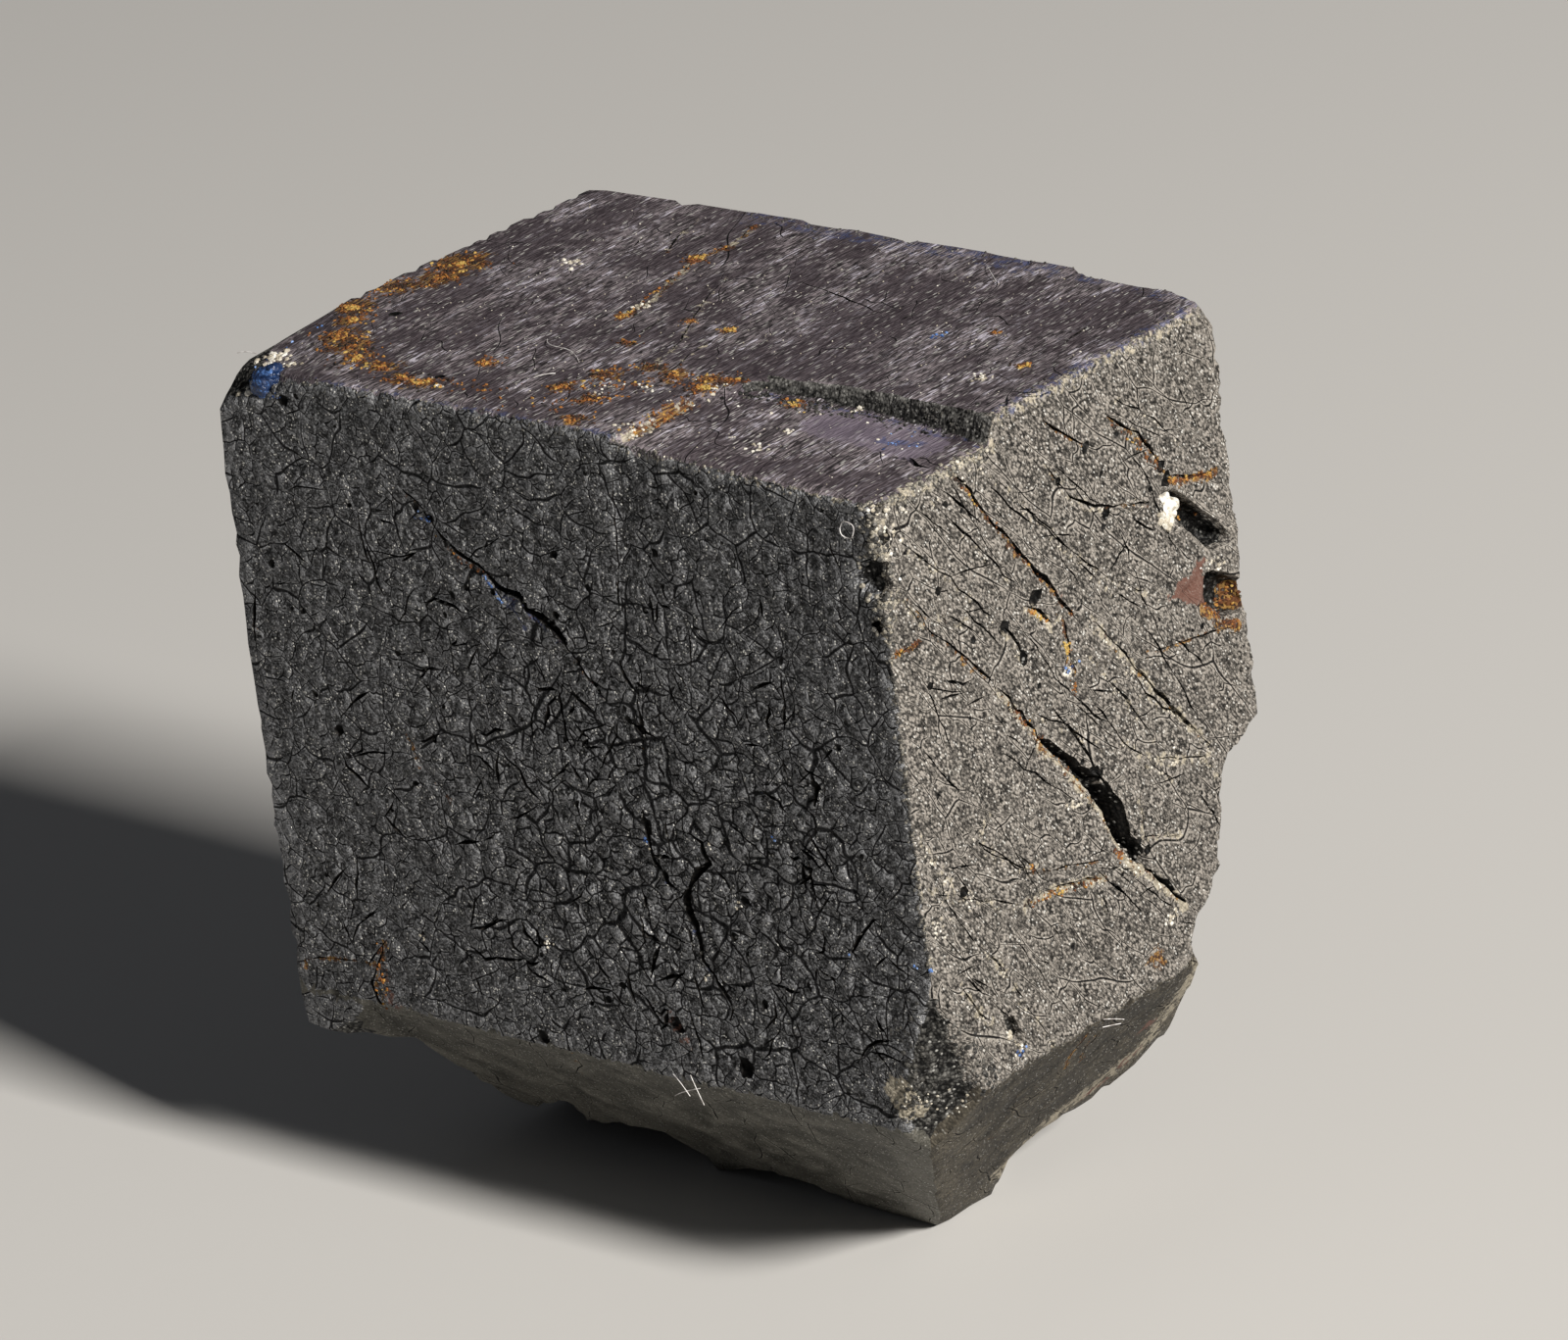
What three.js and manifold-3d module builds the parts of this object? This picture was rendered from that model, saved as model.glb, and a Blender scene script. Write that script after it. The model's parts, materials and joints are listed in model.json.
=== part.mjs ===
// A magnetite crystal: one blocky, nearly cubic crystal broken off along its underside, with a blue
// grain caught on its top left corner and a pale grain in a cavity near its right hand edge.
// Millimetres, +Z up. The front face looks along -Y and the right hand face along +X.
// The origin is the middle of the bounding box, on the flat broken face that the crystal rests on.
import * as THREE from "three";
import Module from "manifold-3d";
import { ConvexGeometry } from "three/addons/geometries/ConvexGeometry.js";
import { mergeVertices } from "three/addons/utils/BufferGeometryUtils.js";

// Driving dimensions
const WIDTH = 17.2;
const DEPTH = 11.2;
const HEIGHT = 18.1;
const FRONT_DROP = 13.53; // height of the front face, from the top to its lower bevel
const RIGHT_DROP = 12.92; // height of the right hand face, from the top to its lower bevel
const FRONT_BEVEL_SLOPE = 1.075; // how far the front bevel drops for each millimetre it runs back
const RIGHT_BEVEL_SLOPE = 1.177; // the same for the right hand bevel, running to the left
const LEFT_TOP = 16.95; // where the left face meets the top, from the right hand face
const LEFT_LEAN = 0.04; // how far the left face leans out for each millimetre down
const BACK_TURN = 0.032; // how far the back face comes forward for each millimetre to the right
const BACK_CORNER = 12.9; // how far left the back face starts to come forward
const TERRACE = { width: 6.35, depth: 3.5, drop: 0.5, tilt: 0.05 }; // the low block at the front corner
const GRAIN_GAP = 0.03; // air between a loose grain and the crystal around it
const CRACK_LIFT = 0.2; // how far a crack's cutter stands out of its face
const CHIP_SIZE = [0.1, 0.26]; // the smallest and largest edge chips
const BITE_SIZE = [0.12, 0.36]; // the smallest and largest bites out of the broken rim

const wasm = await Module();
wasm.setup();

// A small repeatable random source, so that the chips fall the same way each time.
let seed = 20417;
function random(low = 0, high = 1) {
  seed = (seed * 1664525 + 1013904223) % 4294967296;
  return low + ((high - low) * seed) / 4294967296;
}

// A point measured from the top front right corner: to the left, back, and down.
function at(left, back, down) {
  return new THREE.Vector3(WIDTH / 2 - left, back - DEPTH / 2, HEIGHT - down);
}

function toSolid(geometry) {
  const bare = geometry.clone();
  bare.deleteAttribute("normal");
  bare.deleteAttribute("uv");
  const merged = mergeVertices(bare, 1e-5);
  const vertProperties = merged.attributes.position.array;
  const triVerts = new Uint32Array(merged.index.array);
  return new wasm.Manifold(new wasm.Mesh({ numProp: 3, vertProperties, triVerts }));
}

function toGeometry(solid) {
  const mesh = solid.getMesh();
  const geometry = new THREE.BufferGeometry();
  geometry.setAttribute("position", new THREE.BufferAttribute(mesh.vertProperties, 3));
  geometry.setIndex(new THREE.BufferAttribute(mesh.triVerts, 1));
  return geometry;
}

function hull(points) {
  return toSolid(new ConvexGeometry(points));
}

// A large block whose flat side passes through the point and which fills the side the normal points to.
function beyond(point, normal) {
  const size = 60;
  const block = new THREE.BoxGeometry(size, size, size);
  block.translate(0, 0, size / 2);
  const turn = new THREE.Quaternion();
  turn.setFromUnitVectors(new THREE.Vector3(0, 0, 1), normal.clone().normalize());
  block.applyQuaternion(turn);
  block.translate(point.x, point.y, point.z);
  return toSolid(block);
}

// The same through three points, on the side away from the middle of the crystal.
function beyondThrough(a, b, c) {
  const normal = b.clone().sub(a).cross(c.clone().sub(a)).normalize();
  const middle = at(WIDTH / 2, DEPTH / 2, HEIGHT / 2);
  if (normal.dot(middle.sub(a)) > 0) normal.negate();
  return beyond(a, normal);
}

// Faces that carry cracks: a point on the face from its two measures, and the way out of the crystal.
const FRONT = {
  place: (left, down) => at(left, 0, down),
  out: new THREE.Vector3(0, -1, 0),
};
const RIGHT = {
  place: (back, down) => at(0, back, down),
  out: new THREE.Vector3(1, 0, 0),
};
const TOP = {
  place: (left, back) => at(left, back, 0),
  out: new THREE.Vector3(0, 0, 1),
};
const TERRACE_TOP = {
  place: (left, back) => at(left, back, TERRACE.drop - TERRACE.tilt * left),
  out: new THREE.Vector3(0, 0, 1),
};
const BACK = {
  place: (left, down) => at(left, DEPTH - BACK_TURN * Math.max(BACK_CORNER - left, 0), down),
  out: new THREE.Vector3(0, 1, 0),
};
const LEFT = {
  place: (back, down) => at(Math.min(LEFT_TOP + LEFT_LEAN * down, WIDTH), back, down),
  out: new THREE.Vector3(-1, 0, 0),
};

// A crack is cut as a chain of wedges along its route. Each stop is [u, v, width], and the crack is
// as deep as `depth` times its width, and runs out to nothing at both ends.
function crack(face, stops, depth = 2.2) {
  const line = stops.map(([u, v]) => face.place(u, v));
  const ends = line.length - 1;
  const sections = line.map((point, i) => {
    const along = line[Math.min(i + 1, ends)].clone().sub(line[Math.max(i - 1, 0)]).normalize();
    const across = along.cross(face.out).normalize();
    const taper = i === 0 || i === ends ? 0.35 : 1;
    const width = stops[i][2] * taper;
    const lip = point.clone().addScaledVector(face.out, CRACK_LIFT);
    return [
      lip.clone().addScaledVector(across, width * 0.8),
      lip.clone().addScaledVector(across, -width * 0.8),
      point.clone().addScaledVector(face.out, -width * depth),
    ];
  });
  return sections.slice(1).map((section, i) => hull([...sections[i], ...section]));
}

// A hollow with a flat floor, from an outline on the face: [[u, v], ...], drawn in by its depth.
function hollow(face, outline, depth) {
  const rim = outline.map(([u, v]) => face.place(u, v));
  const middle = new THREE.Vector3();
  rim.forEach((point) => middle.addScaledVector(point, 1 / rim.length));
  const points = rim.flatMap((point) => [
    point.clone().addScaledVector(face.out, CRACK_LIFT),
    point.clone().lerp(middle, 0.35).addScaledVector(face.out, -depth),
  ]);
  return hull(points);
}

// A rough little bite, as a turned and squashed octahedron.
function bite(place, size) {
  const shape = new THREE.OctahedronGeometry(size);
  shape.scale(1, random(0.6, 1), random(0.5, 0.9));
  shape.rotateX(random(0, Math.PI));
  shape.rotateY(random(0, Math.PI));
  shape.rotateZ(random(0, Math.PI));
  shape.translate(place.x, place.y, place.z);
  return toSolid(shape);
}

function chipsAlong(start, end, spacing, [small, large]) {
  const length = start.distanceTo(end);
  const count = Math.round(length / spacing);
  return Array.from({ length: count }, (_, i) => {
    const place = start.clone().lerp(end, (i + random(0.1, 0.9)) / count);
    return bite(place, random(small, large));
  });
}

// The crystal's plain faces: front, right, left and back, the top, two lower bevels and the clipped
// corners. The lower left corner stands out of the front bevel a little.
function crystalBlock() {
  const box = new THREE.BoxGeometry(WIDTH, DEPTH, HEIGHT);
  box.translate(0, 0, HEIGHT / 2);
  const bevels = [
    beyond(at(0, 0, FRONT_DROP), new THREE.Vector3(0, -FRONT_BEVEL_SLOPE, -1)),
    beyond(at(0, 0, RIGHT_DROP), new THREE.Vector3(RIGHT_BEVEL_SLOPE, 0, -1)),
  ];
  const sides = [
    beyond(at(LEFT_TOP, 0, 0), new THREE.Vector3(-1, 0.025, LEFT_LEAN)),
    beyond(at(BACK_CORNER, DEPTH, 0), new THREE.Vector3(BACK_TURN, 1, 0)),
    beyond(at(16.0, DEPTH, 0), new THREE.Vector3(-0.3, 1, 0)),
    beyond(at(0, 10.4, 0), new THREE.Vector3(0.17, 0.35, 0.006)),
  ];
  const corners = [
    beyondThrough(at(13.9, 0, 0), at(16.9, 0, 0.92), at(16.75, 0.75, 0.28)),
    beyondThrough(at(16.75, 0.75, 0.28), at(16.8, 3.9, 0), at(14.4, 0.3, 0)),
    beyondThrough(at(0, 9.5, 0), at(0.15, 10.15, 0), at(0, 10.36, 0.42)),
    beyondThrough(at(1.3, 10.62, 0), at(0.12, 10.15, 0), at(0, 10.36, 0.42)),
    beyondThrough(at(15.6, 11.05, 12.9), at(4.0, 11.0, 13.6), at(9.0, 9.4, 18.4)),
    beyondThrough(at(17.0, 9.4, 12.2), at(17.2, 3.0, 13.6), at(15.6, 6.0, 17.9)),
  ];
  const lump = hull([
    at(17.2, 0, 12.5), at(17.2, 0.02, 14.0), at(17.2, 0.2, 14.9), at(16.2, 1.2, 15.2),
    at(15.2, 0, 13.5), at(15.4, 1.3, 15.0), at(17.2, 4, 14.9), at(15.2, 4, 13),
  ]);
  const bevelled = toSolid(box).subtract(wasm.Manifold.union(bevels)).add(lump);
  return bevelled.subtract(wasm.Manifold.union([...sides, ...corners]));
}

// The broken rim along the foot of both bevels and up the right hand side, as [left, back, down].
const FOOT_RIM = [
  [17.3, 0.1, 14.3], [17.1, 0.2, 14.5], [16.2, 1.3, 15.0], [15.5, 1.3, 14.9], [14.9, 3.2, 17.0],
  [14.2, 3.3, 17.1], [12.6, 2.6, 16.3], [13.0, 3.5, 17.3], [11.8, 3.2, 16.9], [10.5, 2.9, 16.7],
  [10.0, 3.7, 17.5], [10.3, 4.3, 18.1], [8.5, 3.7, 17.5], [7.2, 3.6, 17.4], [6.6, 4.2, 18.0],
  [4.4, 4.3, 18.1], [4.4, 5.9, 18.1], [3.4, 5.5, 16.9], [3.0, 6.3, 16.4], [3.0, 7.3, 16.5],
  [2.8, 8.7, 16.2], [2.1, 9.2, 15.4], [1.1, 8.7, 14.2], [0.1, 8.1, 13.1],
];
const SIDE_RIM = [
  [0.1, 8.1, 13.2], [0, 7.7, 12.4], [0, 8.8, 11.4], [0, 9.3, 9.3], [0, 10.3, 8.75], [0, 10.7, 8.6],
];

// The break that took the foot off runs back from the rim in ribs, and is flat in the middle, where
// the crystal rests. Each rib cuts away all that lies outside of one stretch of the rim.
function breakAlong(rim, run, outward) {
  const near = run.clone().multiplyScalar(-6);
  const far = run.clone().multiplyScalar(16);
  return rim.slice(1).map((stop, i) => {
    const ends = [at(...rim[i]), at(...stop)];
    const faces = ends.flatMap((end) => [end.clone().add(near), end.clone().add(far)]);
    return hull([...faces, ...faces.map((point) => point.clone().add(outward))]);
  });
}

function brokenFoot() {
  const downward = new THREE.Vector3(0, 0, -12);
  const sideways = new THREE.Vector3(9, 9, -2);
  return [
    ...breakAlong(FOOT_RIM, new THREE.Vector3(-0.68, 0.73, -0.24), downward),
    ...breakAlong(SIDE_RIM, new THREE.Vector3(-0.72, 0.6, -0.2), sideways),
  ];
}

// The low terrace at the front corner of the top, behind it a steep rough ledge up to the main top.
function terrace() {
  const { width, depth, drop, tilt } = TERRACE;
  const outline = [
    [-1, -1],
    [width, -1],
    [width - 0.05, 2.1],
    [width - 0.9, depth],
    [4.0, depth + 0.18],
    [2.8, depth + 0.2],
    [-1, depth - 0.15],
  ];
  const floor = outline.map(([left, back]) => at(left, back, drop - tilt * left));
  const rise = outline.map(([left, back]) => at(left * 1.03, back * 1.09, -0.4));
  return hull([...floor, ...rise]);
}

// The right part of the front face lies a little behind the left part, from the groove to the corner.
function frontStep() {
  const set = 0.09;
  return hull([
    at(6.3, -0.5, -1),
    at(6.3, set, -1),
    at(6.45, -0.5, 1.1),
    at(6.45, set, 1.1),
    at(6.9, -0.5, 4.4),
    at(6.9, 0, 4.4),
    at(0.6, 0, -1),
    at(0.6, -0.5, -1),
  ]);
}

const frontCracks = [
  crack(FRONT, [[12.3, 1.9, 0.05], [11.6, 2.45, 0.08], [11.3, 2.9, 0.08], [10.4, 3.3, 0.13],
    [9.8, 3.8, 0.15], [8.9, 4.15, 0.12], [8.1, 4.9, 0.1], [7.7, 5.35, 0.05]]),
  crack(FRONT, [[9.95, 3.65, 0.08], [9.6, 4.1, 0.1], [9.3, 4.45, 0.06]]),
  crack(FRONT, [[7.8, 5.2, 0.04], [6.85, 6.5, 0.06], [6.8, 7.9, 0.08], [6.1, 8.4, 0.09],
    [5.9, 9.25, 0.08], [5.9, 10.4, 0.06], [5.3, 11.5, 0.05]]),
  crack(FRONT, [[6.28, -0.1, 0.08], [6.4, 1.1, 0.09], [6.6, 2.35, 0.07], [6.9, 4.1, 0.04]], 1.4),
  crack(FRONT, [[16.7, 4.6, 0.06], [16.8, 5.3, 0.09], [16.9, 5.9, 0.05]]),
  crack(FRONT, [[14.5, 11.9, 0.04], [14.8, 12.6, 0.07], [15.0, 13.1, 0.1], [14.7, 13.9, 0.14]]),
  crack(FRONT, [[17.4, 13.0, 0.06], [16.0, 12.75, 0.05], [14.85, 12.6, 0.04]]),
  crack(FRONT, [[13.1, 7.1, 0.05], [12.65, 8.05, 0.07], [11.8, 8.65, 0.05]]),
  crack(FRONT, [[1.6, 9.4, 0.05], [1.9, 9.8, 0.09], [1.65, 10.05, 0.05]]),
  crack(FRONT, [[5.0, 8.7, 0.05], [4.9, 9.2, 0.08], [4.6, 9.6, 0.04]]),
  crack(FRONT, [[3.0, 6.9, 0.04], [2.4, 6.5, 0.07], [2.2, 6.0, 0.05]]),
].flat();

const rightCracks = [
  crack(RIGHT, [[2.3, 0.3, 0.06], [3.0, 1.45, 0.08], [3.7, 2.5, 0.07], [4.1, 3.05, 0.1],
    [5.0, 4.2, 0.08], [5.5, 4.85, 0.05]]),
  crack(RIGHT, [[0.7, 2.55, 0.06], [1.25, 3.5, 0.09], [2.45, 4.7, 0.09], [3.2, 5.5, 0.12],
    [4.2, 7.0, 0.17], [5.1, 7.9, 0.27], [5.65, 8.6, 0.33], [5.95, 9.3, 0.36], [6.15, 9.9, 0.24],
    [6.65, 10.3, 0.2], [7.0, 10.8, 0.16], [7.6, 11.6, 0.2]], 1.7),
  crack(RIGHT, [[6.7, 8.8, 0.1], [6.35, 9.2, 0.14], [6.0, 9.4, 0.12]]),
  crack(RIGHT, [[6.9, 1.1, 0.04], [7.8, 1.8, 0.06], [8.15, 2.2, 0.06], [8.45, 2.9, 0.05]]),
  crack(RIGHT, [[8.5, 2.95, 0.05], [9.2, 3.1, 0.07], [10.3, 3.4, 0.06]]),
  crack(RIGHT, [[5.0, 0.5, 0.04], [6.1, 1.45, 0.06], [6.6, 1.75, 0.03]]),
  crack(RIGHT, [[5.0, 1.5, 0.04], [5.65, 2.35, 0.06], [6.25, 2.8, 0.06], [7.9, 3.25, 0.05]]),
  crack(RIGHT, [[4.1, 1.9, 0.04], [5.3, 3.1, 0.06], [6.4, 4.25, 0.06], [8.2, 5.35, 0.07]]),
  crack(RIGHT, [[5.9, 4.9, 0.04], [6.7, 6.0, 0.07], [7.7, 7.3, 0.08], [8.8, 8.5, 0.09]]),
  crack(RIGHT, [[7.3, 6.15, 0.05], [8.1, 6.35, 0.07], [10.6, 6.7, 0.05]]),
  crack(RIGHT, [[0.25, 7.25, 0.05], [0.65, 7.95, 0.08], [1.2, 8.75, 0.12], [1.5, 9.0, 0.04]]),
  crack(RIGHT, [[0.2, 8.35, 0.05], [1.7, 9.15, 0.06], [2.95, 9.75, 0.07], [3.75, 9.75, 0.08],
    [4.85, 9.95, 0.07], [5.4, 10.15, 0.05]]),
  crack(RIGHT, [[3.0, 9.05, 0.05], [4.2, 9.35, 0.06], [5.5, 9.85, 0.07]]),
  crack(RIGHT, [[1.5, 9.9, 0.05], [2.2, 10.8, 0.08], [2.6, 11.6, 0.08], [3.35, 12.9, 0.09]]),
  crack(RIGHT, [[0.85, 10.55, 0.05], [1.3, 11.3, 0.08], [1.75, 11.7, 0.1]]),
  crack(RIGHT, [[0.7, 1.45, 0.04], [1.9, 2.6, 0.05], [3.1, 4.0, 0.06], [3.75, 4.9, 0.08],
    [4.1, 5.3, 0.04]]),
  crack(RIGHT, [[1.3, 0.5, 0.04], [2.05, 1.45, 0.06], [2.8, 2.3, 0.05], [3.9, 3.6, 0.04]]),
].flat();

const topCracks = [
  crack(TERRACE_TOP, [[1.5, 1.9, 0.06], [0.8, 2.0, 0.12], [0.1, 2.1, 0.08]], 1.5),
  crack(TOP, [[8.6, 8.3, 0.04], [7.2, 7.75, 0.05], [5.6, 7.3, 0.04]], 1.5),
  crack(TOP, [[4.3, 6.2, 0.04], [3.85, 6.75, 0.08], [3.5, 7.4, 0.04]], 1.5),
].flat();

const hiddenCracks = [
  crack(BACK, [[2.5, 1.2, 0.05], [4.4, 3.1, 0.1], [5.2, 5.6, 0.12], [7.4, 7.2, 0.1], [8.0, 9.6, 0.06]]),
  crack(BACK, [[11.0, -0.2, 0.06], [10.4, 2.6, 0.09], [11.5, 4.4, 0.08], [11.2, 6.8, 0.05]]),
  crack(BACK, [[5.2, 5.6, 0.06], [3.4, 7.0, 0.08], [2.3, 9.4, 0.05]]),
  crack(LEFT, [[9.6, 2.2, 0.05], [7.4, 4.0, 0.09], [6.6, 6.6, 0.11], [4.2, 8.4, 0.09], [3.4, 11.0, 0.05]]),
  crack(LEFT, [[1.2, 2.8, 0.05], [2.6, 4.6, 0.08], [3.0, 6.4, 0.06]]),
].flat();

// Slabs that came off the back and left faces, where the growth steps show.
const hiddenSteps = [
  hollow(BACK, [[-1.5, -1.5], [4.4, -1.5], [3.8, 2.4], [1.6, 4.0], [-1.5, 4.6]], 0.28),
  hollow(BACK, [[9.2, 10.6], [12.4, 10.2], [14.8, 11.6], [14.0, 15.0], [9.8, 15.0]], 0.35),
  hollow(LEFT, [[12.4, -1.2], [12.4, 3.4], [9.4, 2.6], [8.6, 0.9], [9.0, -1.2]], 0.3),
  hollow(LEFT, [[2.8, 10.2], [5.2, 9.6], [6.4, 11.6], [4.6, 14.0], [2.6, 12.6]], 0.22),
];

// Dark cavities near the right hand edge, at the front edge and on the top left corner.
const UPPER_CAVITY = [[8.05, 3.1], [8.65, 3.2], [9.1, 4.05], [9.75, 4.25], [10.6, 5.1], [9.75, 5.05], [8.85, 4.15]];
const hollows = [
  hollow(RIGHT, UPPER_CAVITY, 0.55),
  hollow(RIGHT, [[9.3, 5.2], [9.75, 5.35], [10.7, 5.9], [10.7, 6.6], [9.7, 6.35], [9.2, 5.8]], 0.5),
  hollow(RIGHT, [[9.3, 5.15], [8.3, 5.4], [9.1, 5.85]], 0.12),
  hollow(RIGHT, [[1.95, 11.7], [2.2, 11.65], [2.55, 12.4], [2.3, 12.55]], 0.3),
  hollow(RIGHT, [[-0.15, 1.4], [0.22, 1.6], [0.28, 2.2], [-0.1, 2.5], [-0.3, 2.0]], 0.4),
  hollow(FRONT, [[0.5, 1.5], [0.75, 2.1], [0.2, 2.5], [-0.2, 2.3], [-0.2, 1.5]], 0.3),
  hollow(RIGHT, [[-0.2, 0.3], [0.35, 0.5], [0.5, 0.95], [0.1, 0.85]], 0.25),
];

// The black granular break at the foot of the front edge.
const footBreak = beyondThrough(at(0, 0, 10.1), at(1.0, 0, 12.9), at(0, 1.35, 12.9));

function edgeChips() {
  const clipped = at(0, 0, TERRACE.drop);
  const edges = [
    [at(14.0, 0, 0), at(6.4, 0, 0), 0.55],
    [at(6.2, 0, 0.18), clipped, 0.45],
    [clipped, at(0, 3.3, TERRACE.drop), 0.3],
    [at(0, 3.7, 0), at(0, 9.6, 0), 0.45],
    [at(0, 0, 0.6), at(0, 0, 9.8), 0.4],
    [at(17.1, 0, FRONT_DROP), at(1.1, 0, FRONT_DROP), 0.8],
    [at(0, 1.4, RIGHT_DROP), at(0, 7.8, RIGHT_DROP), 0.8],
    [at(15.8, 11.2, 0), at(1.3, 10.62, 0), 0.7],
    [at(0, 10.47, 1.0), at(0, 10.47, 8.7), 0.5],
    [at(16.8, 3.9, 0), at(16.65, 10.6, 0), 0.6],
    [at(16.95, 0, 1.0), at(17.2, 0, 13.3), 0.6],
  ];
  return edges.flatMap(([start, end, spacing]) => chipsAlong(start, end, spacing, CHIP_SIZE));
}

// Bites along the broken rim, and pits in the foot, clear of the middle that it rests on.
function rimBites() {
  const stops = [...FOOT_RIM, ...SIDE_RIM].map((stop) => at(...stop));
  return stops.slice(1).flatMap((end, i) => chipsAlong(stops[i], end, 0.9, BITE_SIZE));
}

function footPits() {
  const places = [[15.6, 6.0], [14.5, 8.0], [12.2, 9.6], [9.4, 10.4], [12.6, 6.6], [14.9, 4.4], [7.2, 9.6],
    [6.0, 6.4], [9.6, 7.4], [3.8, 9.4], [2.4, 10.4], [4.9, 8.0], [16.4, 3.2], [13.6, 10.6]];
  return places.map(([left, back]) => bite(at(left, back, HEIGHT), random(0.7, 1.5)));
}

function carve(solid, cutters) {
  return solid.subtract(wasm.Manifold.union(cutters.flat()));
}

// A loose grain: a ball of a few flat faces, squashed to its three sizes.
function grain(place, sizes, turn) {
  const shape = new THREE.IcosahedronGeometry(0.5);
  shape.scale(...sizes);
  shape.rotateX(turn);
  shape.rotateY(turn * 0.7);
  shape.translate(place.x, place.y, place.z);
  return shape;
}

// The pocket that a grain sits in: the same form, larger by the gap all round.
function pocket(place, sizes, turn) {
  const wider = sizes.map((size) => size + 2 * GRAIN_GAP);
  return toSolid(grain(place, wider, turn));
}

const BLUE_GRAIN = { place: at(15.75, 0.4, 0.36), sizes: [0.66, 0.8, 0.6], turn: 0.5 };
const PALE_GRAIN = { place: at(0.25, 8.55, 3.65), sizes: [0.5, 0.62, 0.72], turn: 0.9 };

function crystal() {
  const shaped = carve(crystalBlock(), [brokenFoot(), [footBreak, terrace(), frontStep()]]);
  const stepped = carve(shaped, hiddenSteps);
  const cracked = carve(stepped, [frontCracks, rightCracks, topCracks, hiddenCracks, hollows]);
  const worn = carve(cracked, [edgeChips(), rimBites(), footPits()]);
  const pockets = [BLUE_GRAIN, PALE_GRAIN].map((g) => pocket(g.place, g.sizes, g.turn));
  const pieces = carve(worn, pockets).decompose();
  pieces.sort((a, b) => b.volume() - a.volume());
  return toGeometry(pieces[0]);
}

const magnetite = new THREE.MeshStandardMaterial({ color: 0x4b4a4a, roughness: 0.55, metalness: 0.45 });
const blueMineral = new THREE.MeshStandardMaterial({ color: 0x2c4a86, roughness: 0.35, metalness: 0.3 });
const paleMineral = new THREE.MeshStandardMaterial({ color: 0xcfc9ba, roughness: 0.6, metalness: 0 });

function named(name, geometry, material) {
  const mesh = new THREE.Mesh(geometry, material);
  mesh.name = name;
  return mesh;
}

const specimen = new THREE.Group();
specimen.add(named("magnetite_crystal", crystal(), magnetite));
const { place: bluePlace, sizes: blueSizes, turn: blueTurn } = BLUE_GRAIN;
specimen.add(named("blue_grain", grain(bluePlace, blueSizes, blueTurn), blueMineral));
const { place: palePlace, sizes: paleSizes, turn: paleTurn } = PALE_GRAIN;
specimen.add(named("pale_grain", grain(palePlace, paleSizes, paleTurn), paleMineral));

export default specimen;
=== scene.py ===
import json
import math
import random

import bpy
import numpy as np
from mathutils import Euler, Matrix, Vector
from mathutils.bvhtree import BVHTree

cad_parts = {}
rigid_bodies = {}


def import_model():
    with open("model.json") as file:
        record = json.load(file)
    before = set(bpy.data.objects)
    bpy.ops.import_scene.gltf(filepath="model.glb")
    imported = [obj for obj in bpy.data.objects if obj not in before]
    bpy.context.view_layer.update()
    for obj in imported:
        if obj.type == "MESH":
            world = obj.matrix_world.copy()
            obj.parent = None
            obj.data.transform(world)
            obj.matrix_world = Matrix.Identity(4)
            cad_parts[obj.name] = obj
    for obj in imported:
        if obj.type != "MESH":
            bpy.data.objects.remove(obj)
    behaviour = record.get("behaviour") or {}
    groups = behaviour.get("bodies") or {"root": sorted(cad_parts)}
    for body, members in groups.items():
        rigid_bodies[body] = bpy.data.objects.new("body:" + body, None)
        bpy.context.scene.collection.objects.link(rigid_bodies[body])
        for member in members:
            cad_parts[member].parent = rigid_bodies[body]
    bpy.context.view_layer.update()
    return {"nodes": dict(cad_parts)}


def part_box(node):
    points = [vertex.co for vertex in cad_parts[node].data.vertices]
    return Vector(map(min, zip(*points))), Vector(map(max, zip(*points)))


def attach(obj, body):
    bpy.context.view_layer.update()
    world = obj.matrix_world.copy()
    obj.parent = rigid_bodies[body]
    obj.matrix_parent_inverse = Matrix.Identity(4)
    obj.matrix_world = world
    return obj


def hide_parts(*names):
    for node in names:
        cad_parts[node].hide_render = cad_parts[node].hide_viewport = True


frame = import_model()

# The camera stands to the right of the crystal's front edge and looks down on it through a long
# close-up lens. It is rolled a little, so the crystal leans in the picture while it stands upright.
CAMERA_PLACE = (0.104007, -0.111303, 0.070559)
CAMERA_TURN = math.radians(42.871)
CAMERA_ELEVATION = math.radians(21.446)
CAMERA_ROLL = math.radians(-7.317)
LENS = 189.3

level = Matrix.Rotation(CAMERA_TURN, 4, "Z") @ Matrix.Rotation(math.pi / 2 - CAMERA_ELEVATION, 4, "X")
rolled = level @ Matrix.Rotation(CAMERA_ROLL, 4, "Z")
bpy.ops.object.camera_add(location=CAMERA_PLACE, rotation=rolled.to_euler())
camera = bpy.context.object
camera.data.lens = LENS
camera.data.clip_start = 0.001
bpy.context.scene.camera = camera

# The crystal: one blocky magnetite crystal, a dull grey-black iron oxide with a grainy, crazed skin,
# broken off along its underside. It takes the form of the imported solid, worked in millimetres: the
# skin's relief is raised from noise, and the cracks and pits are then cut into it.
MM = 0.001
VOXEL = 0.078
CRYSTAL_TRIANGLES = 112000
TERRACE_DROP = 0.5
TERRACE_TILT = 0.05
TERRACE_WIDTH = 6.5
TERRACE_DEPTH = 3.75
FRONT_BEVEL_DROP = 13.53
RIGHT_BEVEL_DROP = 12.92
FRONT_BEVEL_OUT = Vector((0, -1.075, -1)).normalized()
RIGHT_BEVEL_OUT = Vector((1.177, 0, -1)).normalized()

lowest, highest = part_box("magnetite_crystal")
WIDTH, DEPTH, HEIGHT = (highest - lowest) / MM


def at(left, back, down):
    """A point in millimetres, measured from the top front right corner."""
    return Vector((WIDTH / 2 - left, back - DEPTH / 2, HEIGHT - down))


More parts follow.
